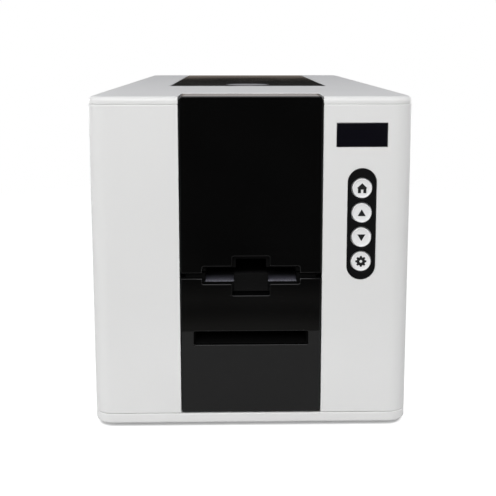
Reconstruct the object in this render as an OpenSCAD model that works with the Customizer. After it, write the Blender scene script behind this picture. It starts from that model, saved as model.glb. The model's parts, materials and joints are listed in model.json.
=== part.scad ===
// Desktop identity card printer: a white case with a black centre strip, a lift-up hopper door,
// a rear-hinged ribbon lid with a round release button, and a display with four keys.
// Millimetres. +Z is up, the front faces -Y, and the origin is the middle of the footprint at
// the underside of the rubber feet.

/* [Case] */
// Width of the case
body_w = 200; // [196:1:210]
// Depth of the case
body_d = 384; // [380:1:400]
// Height over the feet
body_h = 211; // [211:1:214]
// Plan radius of the four upright corners
corner_r = 12; // [6:1:14]
// Thickness of the moulded walls
wall = 2.4; // [2:0.2:3]
// Height of the rubber feet below the base
foot_h = 2.5; // [2:0.5:4]
// Height of the visible rim of the base
base_rim = 6.6; // [5:0.2:8]
// Width of the seams between case parts
seam = 0.4; // [0.3:0.1:0.6]
// Depth of the top cover's outer skirt below its plate
skirt_h = 2.3; // [2:0.1:3]

/* [Centre strip] */
// Half width of the gap between the two white front faces
strip_hw = 44.4; // [43:0.2:45]
// Side gap between the black panels and the white faces
strip_gap = 0.6; // [0.4:0.1:0.8]
// Lower edge of the hopper door
door_z = 100.9; // [100.5:0.1:101.5]
// Depth of the door's top return
door_return = 34; // [30:1:36]
// Upper edge of the lower fascia
fascia_top = 97.6; // [97:0.1:98]
// Half width and height of the card outlet
outlet_hw = 36; // [33:1:37]
outlet_h = 8.7; // [7:0.1:9]
// Lower edge of the card outlet
outlet_z = 54.6; // [53:0.1:56]

/* [Card path] */
// Width of an identity card
card_w = 54; // [53.9:0.1:54]
// Height of the card's lower face on its way through
path_z = 98; // [97.8:0.1:98.2]
// Radius of the driven rubber rollers
roller_r = 8; // [7.5:0.5:8]
// Radius of the roller shafts
shaft_r = 3; // [2.5:0.5:3]

/* [Lid] */
// Half width of the ribbon lid
lid_hw = 60.3; // [58:0.1:62]
// Front edge of the lid
lid_y0 = -58.1; // [-60:0.1:-56]
// Radius of the lid's and the door's hinge barrels
barrel_r = 5.5; // [5:0.1:6]
// Radius of the round release button
release_r = 16.3; // [14:0.1:17]

/* [Controls] */
// Middle of the display and the keys, measured from the centre line
panel_x = 68.3; // [66:0.1:70]
// Radius of a key cap
key_r = 6.5; // [6:0.1:7]
// Distance from key to key
key_pitch = 15.4; // [14.5:0.1:16]
// Height of the third key's centre
key_z = 123.5; // [120:0.5:125]

/* [Hidden] */
$fn = 64;

front = -body_d / 2;
rear = body_d / 2;
side = body_w / 2;
base_z1 = foot_h + base_rim;
cover_z0 = base_z1 + seam;
top_z0 = body_h - wall - skirt_h;
cover_z1 = top_z0 - seam;

tray_floor = foot_h + wall;
side_end = rear - 14;
panel_t = 2.5;
panel_hw = strip_hw - strip_gap;
panel_back = front + panel_t;
door_axis = [front + door_return - barrel_r, body_h - barrel_r];
lid_axis = [rear - barrel_r, body_h - barrel_r];
lid_t = 3;
lid_seat = 0.5;
door_pin_r = 1.5;
lid_pin_r = 2;

// Notch through which a card is seen and pinched, shared by the door and the fascia
notch_hw = 30.5;
notch_mid_hw = 11.7;
notch_door_z = 105.2;
notch_door_mid_z = 111.6;
notch_fascia_z = 94;
notch_fascia_mid_z = 86.6;
liner_hw = 41;

// Roller axes as [y, z]
pick_at = [-130, path_z - roller_r + 1.2];
entry_at = [-88, path_z - roller_r];
platen_at = [20, path_z - roller_r];
exit_at = [84, path_z - roller_r];
pinch_r = 6;
pinch_rise = path_z + 0.9 + pinch_r;
pinch_shaft_r = 2;
motor_at = [60, 50];
ramp_at = [4, 93.2];
ramp_pin_r = 1.5;
tie_at = [[-30, 60], [20, 60], [108, 112], [108, 30], [-92, 146]];
tie_r = 3;

// Ribbon spools, and the pinion that turns the take-up spool, as [y, z]
supply_at = [75, 140];
supply_r = 19;
takeup_at = [-32, 140];
takeup_r = 11;
gear_m = 1;
gear_teeth = 36;
pinion_teeth = 12;
pinion_heading = -53.13;
pinion_at = takeup_at + gear_m * (gear_teeth + pinion_teeth) / 2
    * [cos(pinion_heading), sin(pinion_heading)];
guide_r = 2;
guide_at = [[-2, 107], [42, 107]];
bar_at = [[48, 127], [93, 127], [-43, 127]];
film_gap = 0.3;

// Case posts as [x, y], and the screws through the rear wall as [x, z]
post_r = 3.6;
post_top = 190;
post_at = [for (y = [-166, 0, 150]) [-88, y]];
rear_screw_x = 84;
rear_screw_heights = [24, 186];
rear_screw_at = [for (x = [-rear_screw_x, rear_screw_x], z = rear_screw_heights) [x, z]];
screw_r = 1.6;
screw_len = 20;
head_r = 3;

frame_x = 37;
frame_t = 1.5;
run_fit = 0.04;
pulley_r = 8;
motor_pulley_r = 5;
belt_t = 1.2;
belt_w = 4;
belt_fit = 0.05;
belt_layer_1 = -45.2;
belt_layer_2 = -50.8;

chute_slope = 0.209;
chute_y0 = panel_back + 0.3;
chute_y1 = -79;
chute_z0 = outlet_z + 0.3;

key_heights = [for (i = [2, 1, 0, -1]) key_z + i * key_pitch];
pill_hw = 8.9;
pill_z0 = key_z - 27.1;
pill_z1 = key_z + 43.3;
display_size = [31.5, 15];
display_z = 187.3;
board_y = front + 9;

button_y = -32;
latch_at = [-8, 199.5];
latch_pin_r = 1.25;
hook_drop = 20;
head_at = [31, 117];
head_pin_r = 1.5;
switch_at = [62, 34];
rocker_pin_r = 1;
fan_at = [52, 128];
fan_hw = 20;
fan_bore_r = 18.8;
fan_pin_r = 1.2;
jack_x = -64;
usb_x = -36;
net_x = -8;
socket_z = 24;
lock_at = [84, 21.5];

// ---------- helpers ----------

module rounded_rect(w, d, r) {
    square([w - 2 * r, d], center = true);
    square([w, d - 2 * r], center = true);
    for (sx = [-1, 1], sy = [-1, 1])
        translate([sx * (w / 2 - r), sy * (d / 2 - r)]) circle(r);
}

module box(x0, x1, y0, y1, z0, z1) {
    translate([x0, y0, z0]) cube([x1 - x0, y1 - y0, z1 - z0]);
}

// Extrudes a [y, z] outline along X
module along_x(x0, x1) {
    translate([x0, 0, 0]) rotate([90, 0, 90]) linear_extrude(x1 - x0) children();
}

// Extrudes an [x, z] outline along Y
module along_y(y0, y1) {
    translate([0, y1, 0]) rotate([90, 0, 0]) linear_extrude(y1 - y0) children();
}

module rod_x(x0, x1, at, r) {
    translate([x0, at[0], at[1]]) rotate([0, 90, 0]) cylinder(h = x1 - x0, r = r);
}

module rod_y(y0, y1, x, z, r) {
    translate([x, y1, z]) rotate([90, 0, 0]) cylinder(h = y1 - y0, r = r);
}

module mirrored_x() {
    children();
    mirror([1, 0, 0]) children();
}

// Ring of the case's outline, one wall thick
module case_ring(z0, z1) {
    translate([0, 0, z0]) linear_extrude(z1 - z0) difference() {
        rounded_rect(body_w, body_d, corner_r);
        rounded_rect(body_w - 2 * wall, body_d - 2 * wall, corner_r - wall);
    }
}

// Point of an involute at roll angle t, as [radius, polar angle]
function involute(rb, t) = [rb / cos(atan(t * PI / 180)), t - atan(t * PI / 180)];

function roll_at(rb, r) = sqrt(pow(r / rb, 2) - 1) * 180 / PI;

// Outline of a 20 degree involute gear with a tooth centred on +a
module gear_outline(m, teeth, backlash = 0.2) {
    rp = m * teeth / 2;
    rb = rp * cos(20);
    ra = rp + 0.95 * m;
    rf = rp - 1.25 * m;
    steps = 5;
    base_angle = 90 / teeth - backlash / rp * 45 / PI + involute(rb, roll_at(rb, rp))[1];
    flank = [for (i = [0:steps]) let (p = involute(rb, roll_at(rb, ra) * i / steps))
        [p[0], base_angle - p[1]]];
    half_tooth = concat([[min(rf, rb), base_angle]], flank);
    tooth = concat([for (p = half_tooth) [p[0], -p[1]]],
        [for (i = [len(half_tooth) - 1:-1:0]) half_tooth[i]]);
    polygon([for (k = [0:teeth - 1], p = tooth)
        p[0] * [cos(p[1] + k * 360 / teeth), sin(p[1] + k * 360 / teeth)]]);
}

// Unit normal, on the given side, of the outer tangent from circle a to circle b
function tangent_normal(a, b, r1, r2, s) =
    let (angle = atan2(b[1] - a[1], b[0] - a[0]) + s * acos((r1 - r2) / norm(b - a)))
        [cos(angle), sin(angle)];

// Outline that wraps two pulleys of radii r1 and r2
module belt_outline(a, b, r1, r2, grow) {
    left = tangent_normal(a, b, r1, r2, 1);
    right = tangent_normal(a, b, r1, r2, -1);
    translate(a) circle(r1 + grow);
    translate(b) circle(r2 + grow);
    polygon([a + (r1 + grow) * right, b + (r2 + grow) * right,
        b + (r2 + grow) * left, a + (r1 + grow) * left]);
}

module belt(x, a, b, r1 = pulley_r, r2 = pulley_r) {
    along_x(x, x + belt_w) difference() {
        belt_outline(a, b, r1, r2, belt_t + belt_fit);
        belt_outline(a, b, r1, r2, belt_fit);
    }
}

// Pulley with two flanges, its belt groove starting at x
module pulley(x, at, r) {
    rod_x(x - 0.2, x + belt_w + 0.2, at, r);
    rod_x(x - 0.8, x - 0.2, at, r + 1.6);
    rod_x(x + belt_w + 0.2, x + belt_w + 0.8, at, r + 1.6);
}

// ---------- case ----------

module base_tray() {
    slot_n = 9;
    color("whitesmoke") difference() {
        union() {
            translate([0, 0, foot_h]) linear_extrude(base_rim)
                rounded_rect(body_w, body_d, corner_r);
            translate([0, 0, base_z1]) linear_extrude(3.2)
                rounded_rect(body_w - 2 * wall - 0.6, body_d - 2 * wall - 0.6, corner_r - wall);
        }
        translate([0, 0, tray_floor]) linear_extrude(base_rim + 4)
            rounded_rect(body_w - 4 * wall, body_d - 4 * wall, corner_r - 2 * wall);
        for (i = [0:slot_n - 1], sx = [-1, 1])
            translate([sx * 62, 40 + i * 10, 0]) linear_extrude(tray_floor + 1)
                square([36, 3.2], center = true);
        box(-strip_hw - 3, strip_hw + 3, front - 1, front + 6, base_z1, base_z1 + 5);
        mirrored_x() for (at = post_at)
            translate([at[0], at[1], 0]) cylinder(h = tray_floor + 1, r = screw_r + 0.2);
    }
}

module rubber_feet() {
    color("dimgray") for (sx = [-1, 1], sy = [-1, 1])
        translate([sx * (side - 24), sy * (rear - 30), 0]) cylinder(h = foot_h, r = 9);
}

// Front face and side wall of one side of the case
module side_cover_body() {
    lip_top = base_z1 + 3.6;
    flange_y = rear - 16;
    difference() {
        union() {
            intersection() {
                case_ring(cover_z0, cover_z1);
                box(-side - 1, -strip_hw, front - 1, side_end, 0, body_h);
            }
            // posts that stand on the tray's floor and carry the top cover
            for (at = post_at) {
                translate([at[0], at[1], tray_floor]) cylinder(h = post_top - tray_floor, r = post_r);
                box(-side + wall, at[0], at[1] - 1, at[1] + 1, lip_top, post_top - 4);
            }
            // flange that takes the rear cover's screws
            box(-side + wall, -side + 20, flange_y, flange_y + 2, lip_top, cover_z1 - 4);
            for (z = rear_screw_heights) rod_y(flange_y - 6, flange_y, -rear_screw_x, z, post_r);
        }
        for (at = post_at)
            translate([at[0], at[1], tray_floor - 1]) cylinder(h = screw_len + 1, r = screw_r);
        for (z = rear_screw_heights) rod_y(flange_y - 7, flange_y + 3, -rear_screw_x, z, screw_r);
    }
}

module left_cover() {
    color("whitesmoke") side_cover_body();
}

module pill_outline(grow) {
    for (z = [pill_z0 + pill_hw, pill_z1 - pill_hw])
        translate([panel_x + 0.2, z]) circle(pill_hw + grow);
    translate([panel_x + 0.2 - pill_hw - grow, pill_z0 + pill_hw])
        square([2 * (pill_hw + grow), pill_z1 - pill_z0 - 2 * pill_hw]);
}

module right_cover() {
    color("whitesmoke") difference() {
        union() {
            mirror([1, 0, 0]) side_cover_body();
            // bosses that carry the front board
            for (sx = [-1, 1], z = [pill_z0 + 2, pill_z1 + 7])
                rod_y(front + wall - 0.2, board_y, panel_x + sx * 14.4, z, 2);
        }
        along_y(front - 1, front + wall + 1) pill_outline(0.1);
        along_y(front - 1, front + wall + 1) translate([panel_x - 0.3, display_z])
            square(display_size, center = true);
    }
}

module rear_cover() {
    slot_pitch = 4;
    slot_w = 2.4;
    vent_pitch = 5;
    vent_x0 = -72;
    vent_z = [110, 146];
    color("whitesmoke") difference() {
        intersection() {
            case_ring(cover_z0, cover_z1);
            box(-side - 1, side + 1, side_end + seam, rear + 1, 0, body_h);
        }
        box(-lid_hw - 0.6, lid_hw + 0.6, rear - 10, rear + 1, lid_axis[1] - barrel_r - 0.4, body_h);
        // slots over the fan
        for (i = [-4:4])
            let (w = 2 * sqrt(pow(fan_bore_r, 2) - pow(i * slot_pitch, 2)), z = fan_at[1] + i * slot_pitch)
                box(fan_at[0] - w / 2, fan_at[0] + w / 2, rear - 4, rear + 1, z - slot_w / 2, z + slot_w / 2);
        // upright vents on the other half
        for (i = [0:7])
            let (x = vent_x0 + i * vent_pitch)
                box(x, x + slot_w, rear - 4, rear + 1, vent_z[0], vent_z[1]);
        for (at = rear_screw_at) {
            rod_y(rear - 4, rear + 1, at[0], at[1], screw_r + 0.3);
            rod_y(rear - 1.2, rear + 1, at[0], at[1], head_r + 0.4);
        }
        // socket openings
        rod_y(rear - 4, rear + 1, jack_x, socket_z + 6, 5.2);
        box(usb_x - 6.2, usb_x + 6.2, rear - 4, rear + 1, socket_z - 0.2, socket_z + 11.2);
        box(net_x - 8.2, net_x + 8.2, rear - 4, rear + 1, socket_z - 0.2, socket_z + 13.7);
        box(switch_at[0] - 10, switch_at[0] + 10, rear - 4, rear + 1,
            switch_at[1] - 6.5, switch_at[1] + 6.5);
        // security lock slot
        box(lock_at[0] - 12, lock_at[0] - 5, rear - 4, rear + 1, lock_at[1] - 1.5, lock_at[1] + 1.5);
    }
}

module top_cover() {
    inset = 0.3;
    color("whitesmoke") difference() {
        translate([0, 0, top_z0]) linear_extrude(body_h - top_z0)
            rounded_rect(body_w - 2 * inset, body_d - 2 * inset, corner_r - inset);
        translate([0, 0, top_z0 - 1]) linear_extrude(skirt_h + 1)
            rounded_rect(body_w - 2 * inset - 2 * wall, body_d - 2 * inset - 2 * wall,
                corner_r - inset - wall);
        box(-strip_hw, strip_hw, front - 1, front + door_return + 0.4, 0, body_h + 1);
        box(-lid_hw - lid_seat, lid_hw + lid_seat, lid_y0 - lid_seat, rear + 1, 0, body_h + 1);
    }
    // bosses over the side covers' posts
    color("whitesmoke") mirrored_x() for (at = post_at)
        translate([at[0], at[1], post_top + 0.1])
            cylinder(h = body_h - wall - post_top - 0.1, r = post_r);
}

module front_frame() {
    x0 = strip_hw + 0.3;
    x1 = x0 + 2.2;
    y1 = -150;
    color([0.08, 0.08, 0.08]) {
        mirrored_x() difference() {
            union() {
                box(x0, x1, front + wall + 0.3, y1, base_z1 + 5, top_z0 - 0.6);
                box(x0, x1, front + 6, y1, tray_floor, base_z1 + 5);
                box(x0, x1, door_axis[0] - 4, door_axis[0] + 4, top_z0 - 1, body_h - wall - 0.2);
            }
            rod_x(x0 - 1, x1 + 1, door_axis, door_pin_r + run_fit);
        }
        box(-x0, x0, front + 6, y1, tray_floor, tray_floor + 2);
        // crossbars under the chute and the hopper
        box(-x0, x0, -172, -168, 50, chute_z0 - 1.6 + chute_slope * (-172 - chute_y0));
        box(-x0, x0, -172, -168, path_z - 6, path_z - 2);
    }
}

// Stepped notch between the panel's edge at z_open and the steps z_edge and z_mid
module notch_outline(z_open, z_edge, z_mid) {
    for (step = [[notch_hw, z_edge], [notch_mid_hw, z_mid]])
        translate([-step[0], min(z_open, step[1])]) square([2 * step[0], abs(z_open - step[1])]);
}

module lower_fascia() {
    color([0.05, 0.05, 0.05]) {
        difference() {
            box(-panel_hw, panel_hw, front, panel_back, cover_z0 + 0.4, fascia_top);
            along_y(front - 1, panel_back + 1)
                notch_outline(fascia_top + 1, notch_fascia_z, notch_fascia_mid_z);
            along_y(front - 1, panel_back + 1)
                translate([0, outlet_z + outlet_h / 2]) rounded_rect(2 * outlet_hw, outlet_h, 1);
        }
        mirrored_x() box(panel_hw - 2, panel_hw, panel_back, front + 11, cover_z0 + 4, fascia_top - 2);
    }
}

// Sill of the hopper: an entry ramp on each side of a stop for the cards' front edges, whose
// front face is slightly hollow for a fingertip
module card_throat() {
    throat_y = panel_back + 0.3;
    throat_y1 = -176;
    throat_hw = 28.6;
    ramp_z = 94.8;
    stop_hw = notch_mid_hw - 1;
    stop_z0 = 88.3;
    hollow_r = 40;
    color([0.1, 0.1, 0.1]) difference() {
        union() {
            box(-liner_hw, liner_hw, throat_y, throat_y1, 84.5, path_z);
            mirrored_x() box(throat_hw, liner_hw, throat_y, throat_y1, path_z, door_z - 0.5);
            box(-stop_hw, stop_hw, throat_y, throat_y + 1.5, path_z - 1, door_z - 0.4);
        }
        mirrored_x() along_x(stop_hw, throat_hw)
            polygon([[throat_y - 1, ramp_z], [throat_y1, path_z - 0.2],
                [throat_y1 + 1, door_z + 1], [throat_y - 1, door_z + 1]]);
        rod_x(-stop_hw - 0.1, stop_hw + 0.1, [throat_y + 0.8 - hollow_r, 94.5], hollow_r);
        box(-stop_hw - 2, stop_hw + 2, throat_y - 1, throat_y + 3, 84, stop_z0);
    }
}

module card_hopper() {
    inner = card_w / 2 + 1;
    hop_y0 = -175.7;
    hop_y1 = -101.4;
    hop_top = 198;
    color([0.13, 0.13, 0.13]) difference() {
        union() {
            mirrored_x() {
                box(inner, inner + 2, hop_y0, hop_y1, path_z - 2, hop_top);
                box(inner, inner + 2, front + 5.2, hop_y0, path_z + 3, hop_top);
            }
            box(-inner - 2, inner + 2, hop_y1, hop_y1 + 2, path_z + 1.2, hop_top);
            box(-inner - 2, inner + 2, hop_y0, hop_y1 + 2, path_z - 2, path_z);
        }
        box(-13.5, 13.5, pick_at[0] - 7.5, pick_at[0] + 7.5, path_z - 3, path_z + 1);
        box(-3, 3, hop_y1 - 1, hop_y1 + 3, 112, 122);
    }
}

module outlet_chute() {
    inner = outlet_hw - 0.8;
    z1 = chute_z0 + chute_slope * (chute_y1 - chute_y0);
    color([0.13, 0.13, 0.13]) {
        along_x(-inner - 1.4, inner + 1.4) polygon([[chute_y0, chute_z0 - 1.6],
            [chute_y1, z1 - 1.6], [chute_y1, z1], [chute_y0, chute_z0]]);
        mirrored_x() along_x(inner, inner + 1.4) polygon([[chute_y0, chute_z0], [chute_y1, z1],
            [chute_y1, z1 + 5], [chute_y0, chute_z0 + 8]]);
    }
}

// Shallow tub under the lid, open in the middle for the ribbon cassette
module bay_liner() {
    hw = lid_hw - 0.5;
    y0 = lid_y0 + 0.6;
    y1 = 176;
    z0 = 164;
    z1 = body_h - lid_t - 0.5;
    color([0.16, 0.16, 0.17]) difference() {
        union() {
            box(-hw, hw, y0, y1, z0, z1);
            box(-hw - 7, hw + 7, y0 - 7, y1, z1 - 1.4, z1);
        }
        box(-hw + 2, hw - 2, y0 + 2, y1 - 2, z0 + 2, z1 + 1);
        box(-36.4, 36.4, -52, 104, z0 - 1, z0 + 3);
        // catch for the latch hook
        box(-10, 10, y0 - 1, y0 + 3, latch_at[1] - hook_drop - 6, latch_at[1] - hook_drop + 4);
    }
}

// ---------- hopper door ----------

module hopper_door() {
    color([0.03, 0.03, 0.03]) difference() {
        union() {
            box(-panel_hw, panel_hw, front, panel_back, door_z, body_h);
            box(-panel_hw, panel_hw, front, door_axis[0], body_h - panel_t, body_h);
            rod_x(-panel_hw, panel_hw, door_axis, barrel_r);
            mirrored_x() box(panel_hw - 2, panel_hw, panel_back, front + 11, door_z + 2, body_h - panel_t);
        }
        rod_x(-panel_hw - 1, -panel_hw + 12, door_axis, door_pin_r);
        rod_x(panel_hw - 12, panel_hw + 1, door_axis, door_pin_r);
        along_y(front - 1, panel_back + 1)
            notch_outline(door_z - 1, notch_door_z, notch_door_mid_z);
    }
}

// Inner moulding of the door, with a slightly smaller notch
module door_liner() {
    color([0.12, 0.12, 0.12]) difference() {
        box(-liner_hw, liner_hw, panel_back, panel_back + 1.6, door_z + 0.6, body_h - panel_t - 8);
        along_y(front, front + 6)
            for (step = [[notch_hw - 2.2, notch_door_z - 1.2], [notch_mid_hw - 2.3, notch_door_mid_z - 2]])
                translate([-step[0], door_z - 1]) square([2 * step[0], step[1] - door_z + 1]);
    }
}

module door_hinge_pins() {
    color("silver") mirrored_x() rod_x(panel_hw - 12, strip_hw + 2.4, door_axis, door_pin_r);
}

// ---------- ribbon lid ----------

module lid() {
    under = body_h - lid_t;
    color([0.06, 0.06, 0.06]) difference() {
        union() {
            box(-lid_hw, lid_hw, lid_y0, lid_axis[0], under, body_h);
            rod_x(-lid_hw, lid_hw, lid_axis, barrel_r);
            // stiffening rim
            mirrored_x() box(lid_hw - 5, lid_hw - 3.2, lid_y0 + 4, 170, under - 4, under);
            box(-lid_hw + 5, lid_hw - 5, lid_y0 + 4, lid_y0 + 5.8, under - 4, under);
            // lugs for the latch pin
            mirrored_x() box(9.2, 11.4, latch_at[0] - 3, latch_at[0] + 3, latch_at[1] - 3, under);
        }
        translate([0, button_y, under - 1]) cylinder(h = lid_t + 2, r = release_r + 0.25);
        rod_x(-lid_hw - 1, -lid_hw + 12, lid_axis, lid_pin_r);
        rod_x(lid_hw - 12, lid_hw + 1, lid_axis, lid_pin_r);
        rod_x(-12, 12, latch_at, latch_pin_r);
    }
}

module lid_hinge_pins() {
    color("silver") mirrored_x() rod_x(lid_hw - 12, lid_hw + 4, lid_axis, lid_pin_r);
}

module lid_brackets() {
    x0 = lid_hw + 1;
    color("lightgray") mirrored_x() difference() {
        union() {
            box(x0, x0 + 2.6, lid_axis[0] - 3, lid_axis[0] + 2.7, 176, lid_axis[1] + 2.8);
            box(x0, x0 + 14, lid_axis[0] + 1, lid_axis[0] + 2.7, 176, 190);
        }
        rod_x(x0 - 1, x0 + 4, lid_axis, lid_pin_r + run_fit);
    }
}

module lid_button() {
    color("silver") {
        translate([0, button_y, body_h - 2.8]) cylinder(h = 2.6, r = release_r);
        translate([0, button_y, latch_at[1] + 2.2])
            cylinder(h = body_h - 2.8 - latch_at[1] - 2.2, r = 1.5);
    }
}

module lid_latch() {
    y = latch_at[0];
    z = latch_at[1];
    // inner and outer face of the hook's stem
    y_in = lid_y0 + 8;
    y_out = lid_y0 + 5.6;
    color("dimgray") difference() {
        along_x(-8.6, 8.6) {
            polygon([[y, z - 2.6], [y, z + 1.8], [y_out, z + 1.8], [y_out, z - hook_drop + 3],
                [y_out - 1.2, z - hook_drop + 3], [y_out, z - hook_drop], [y_in, z - hook_drop],
                [y_in, z - 2.6]]);
            translate([y, z]) circle(3);
        }
        rod_x(-9, 9, latch_at, latch_pin_r + run_fit);
    }
}

module latch_pin() {
    color("silver") rod_x(-11.4, 11.4, latch_at, latch_pin_r);
}

module head_arm() {
    under = body_h - lid_t;
    sheet = 1.6;
    color("lightgray") difference() {
        union() {
            box(-27, 27, 36, 36 + sheet, 108, under - sheet);
            box(-27, 27, 26, 46, under - sheet, under);
            mirrored_x() box(27, 27 + sheet, 24, 36 + sheet, 110, under - 8);
        }
        rod_x(-30, 30, head_at, head_pin_r);
        box(-18, 18, 35, 39, 126, 186);
    }
}

// Ceramic print line on a finned aluminium heat sink
module printhead() {
    hw = 26.6;
    fin_pitch = 3;
    fin_gap = 1.6;
    color("gainsboro") difference() {
        union() {
            box(-hw, hw, 12, 33.6, 104, 121);
            box(-hw, hw, 14, 26, 99.6, 104);
        }
        for (i = [0:4]) box(-hw - 1, hw + 1, 14 + i * fin_pitch, 14 + i * fin_pitch + fin_gap, 110, 122);
        rod_x(-30, 30, head_at, head_pin_r + run_fit);
    }
}

module head_pin() {
    color("silver") rod_x(-28.6, 28.6, head_at, head_pin_r);
}

// ---------- controls ----------

module button_plate() {
    back = front + wall + 0.3;
    color([0.07, 0.07, 0.08]) difference() {
        union() {
            along_y(front + 0.5, back) pill_outline(0);
            along_y(back, back + 1) pill_outline(2.5);
        }
        for (z = key_heights) rod_y(front - 1, back + 2, panel_x + 0.2, z, key_r + 0.2);
    }
}

// Key cap with a flange that keeps it behind the plate
module key_cap(z) {
    back = front + wall + 1.4;
    color("white") {
        rod_y(front, back, panel_x + 0.2, z, key_r);
        rod_y(back, back + 0.8, panel_x + 0.2, z, key_r + 0.7);
        rod_y(back + 0.8, front + 5.7, panel_x + 0.2, z, 1.6);
    }
}

module button_home() { key_cap(key_heights[0]); }
module button_up() { key_cap(key_heights[1]); }
module button_down() { key_cap(key_heights[2]); }
module button_settings() { key_cap(key_heights[3]); }

module display_window() {
    color([0.06, 0.06, 0.09]) {
        along_y(front + 0.3, front + wall + 0.2) translate([panel_x - 0.3, display_z])
            square([display_size[0] - 0.3, display_size[1] - 0.3], center = true);
        along_y(front + wall + 0.2, front + wall + 1.4) translate([panel_x - 0.3, display_z])
            square([display_size[0] + 4, display_size[1] + 4], center = true);
    }
}

// Board behind the front face: display glass on top, four tactile switches below it
module front_board() {
    hw = 17;
    color("darkgreen") box(panel_x - hw, panel_x + hw, board_y, board_y + 1.6, pill_z0 - 2, 200);
    color([0.15, 0.15, 0.2])
        box(panel_x - 14, panel_x + 14, front + wall + 1.6, board_y, display_z - 7, display_z + 8);
    color("dimgray") for (z = key_heights)
        translate([panel_x + 0.2, 0, z]) box(-3, 3, board_y - 2.4, board_y, -3, 3);
}

// ---------- engine frame ----------

module side_frame() {
    x0 = frame_x - 1;
    x1 = frame_x + frame_t + 1;
    bushed = [entry_at, platen_at, exit_at, pick_at];
    color("silver") difference() {
        union() {
            box(frame_x, frame_x + frame_t, -148, 118, tray_floor, 160);
            box(frame_x - 12, frame_x, -90, 112, tray_floor, tray_floor + frame_t);
        }
        for (at = bushed) rod_x(x0, x1, at, shaft_r + 2);
        for (y = [entry_at[0], exit_at[0]]) rod_x(x0, x1, [y, pinch_rise], pinch_shaft_r + run_fit);
        // open slots, so that the spools lift out
        for (at = [supply_at, takeup_at]) {
            rod_x(x0, x1, at, shaft_r + run_fit);
            box(x0, x1, at[0] - shaft_r - run_fit, at[0] + shaft_r + run_fit, at[1], 161);
        }
        rod_x(x0, x1, ramp_at, ramp_pin_r + run_fit);
        rod_x(x0, x1, motor_at, 11.2);
        for (at = [[-50, 40], [-8, 40], [100, 60], [24, 140]]) rod_x(x0, x1, at, 10);
        box(x0, x1, -150, -100, 0, 84);
        box(x0, x1, -150, -103, 100, 161);
    }
}

module left_frame() {
    mirror([1, 0, 0]) side_frame();
}

// The right frame also carries the take-up motor on a standing bracket
module right_frame() {
    x0 = frame_x + frame_t;
    side_frame();
    color("silver") {
        difference() {
            box(45.7, 47.2, pinion_at[0] - 16, pinion_at[0] + 16, pinion_at[1] - 13, pinion_at[1] + 10);
            rod_x(45, 48, pinion_at, 3.2);
        }
        for (dy = [-13, 13]) rod_x(x0, 45.7, pinion_at + [dy, -10], 2);
    }
}

module frame_ties() {
    color("silver") for (at = tie_at) rod_x(-frame_x, frame_x, at, tie_r);
}

module shaft_bushes() {
    color("goldenrod") mirrored_x() for (at = [entry_at, platen_at, exit_at, pick_at])
        difference() {
            union() {
                rod_x(frame_x - 0.8, frame_x, at, shaft_r + 3);
                rod_x(frame_x, frame_x + frame_t, at, shaft_r + 2);
            }
            rod_x(frame_x - 2, frame_x + 3, at, shaft_r + run_fit);
        }
}

// Driven roller: rubber sleeve on a steel shaft with its pulleys
module driven_roller(at, sleeve_hw, x_left, grooves) {
    color("dimgray") rod_x(-sleeve_hw, sleeve_hw, at, roller_r);
    color("silver") {
        rod_x(x_left, -sleeve_hw, at, shaft_r);
        rod_x(sleeve_hw, frame_x + 3, at, shaft_r);
    }
    color("black") for (x = grooves) pulley(x, at, pulley_r);
}

module pick_roller() { driven_roller(pick_at, 12, belt_layer_2 - 1, [belt_layer_2]); }
module entry_roller() { driven_roller(entry_at, 27, belt_layer_2 - 1, [belt_layer_1, belt_layer_2]); }
module platen_roller() { driven_roller(platen_at, 29, belt_layer_2 - 1, [belt_layer_1, belt_layer_2]); }
module exit_roller() { driven_roller(exit_at, 27, belt_layer_2 - 1, [belt_layer_1, belt_layer_2]); }

module pinch_roller(y) {
    at = [y, pinch_rise];
    color("dimgray") rod_x(-27, 27, at, pinch_r);
    color("silver") mirrored_x() rod_x(27, frame_x + 3, at, pinch_shaft_r);
}

module entry_pinch() { pinch_roller(entry_at[0]); }
module exit_pinch() { pinch_roller(exit_at[0]); }

module feed_motor() {
    half = 21;
    color("dimgray") difference() {
        along_x(-frame_x + 0.1, -4) translate(motor_at) rounded_rect(2 * half, 2 * half, 4);
        rod_x(-frame_x, -20, motor_at, 2.6);
    }
    color("silver") difference() {
        rod_x(-frame_x - 1.4, -frame_x + 0.1, motor_at, 11);
        rod_x(-frame_x - 2, -20, motor_at, 2.6);
    }
}

module motor_pulley() {
    color("silver") rod_x(belt_layer_1 - 1, -21, motor_at, 2.5);
    color("black") pulley(belt_layer_1, motor_at, motor_pulley_r);
}

module drive_belts() {
    color([0.1, 0.1, 0.1]) {
        belt(belt_layer_1, exit_at, motor_at, pulley_r, motor_pulley_r);
        belt(belt_layer_2, platen_at, exit_at);
        belt(belt_layer_1, entry_at, platen_at);
        belt(belt_layer_2, pick_at, entry_at);
    }
}

// Thickness gate at the hopper's exit, with a tab that reaches through the rear wall
module card_gate() {
    color("royalblue") {
        box(-20, 20, -99.2, -97.8, path_z + 1.2, 126);
        box(-2.5, 2.5, -104, -99.2, 114, 119);
    }
}

// Guide that lies level for printing and tips to send a card down to the outlet
module diverter_ramp() {
    color([0.2, 0.2, 0.2]) {
        box(-28, 28, -77, 8, path_z - 3.2, path_z - 1.8);
        mirrored_x() box(28, 29.4, -77, 8, path_z - 7.5, path_z - 0.6);
        box(-28, 28, 2, 6, path_z - 6.8, path_z - 3.2);
    }
    color("silver") rod_x(-frame_x - 1, frame_x + 1, ramp_at, ramp_pin_r);
}

// ---------- ribbon ----------

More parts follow.
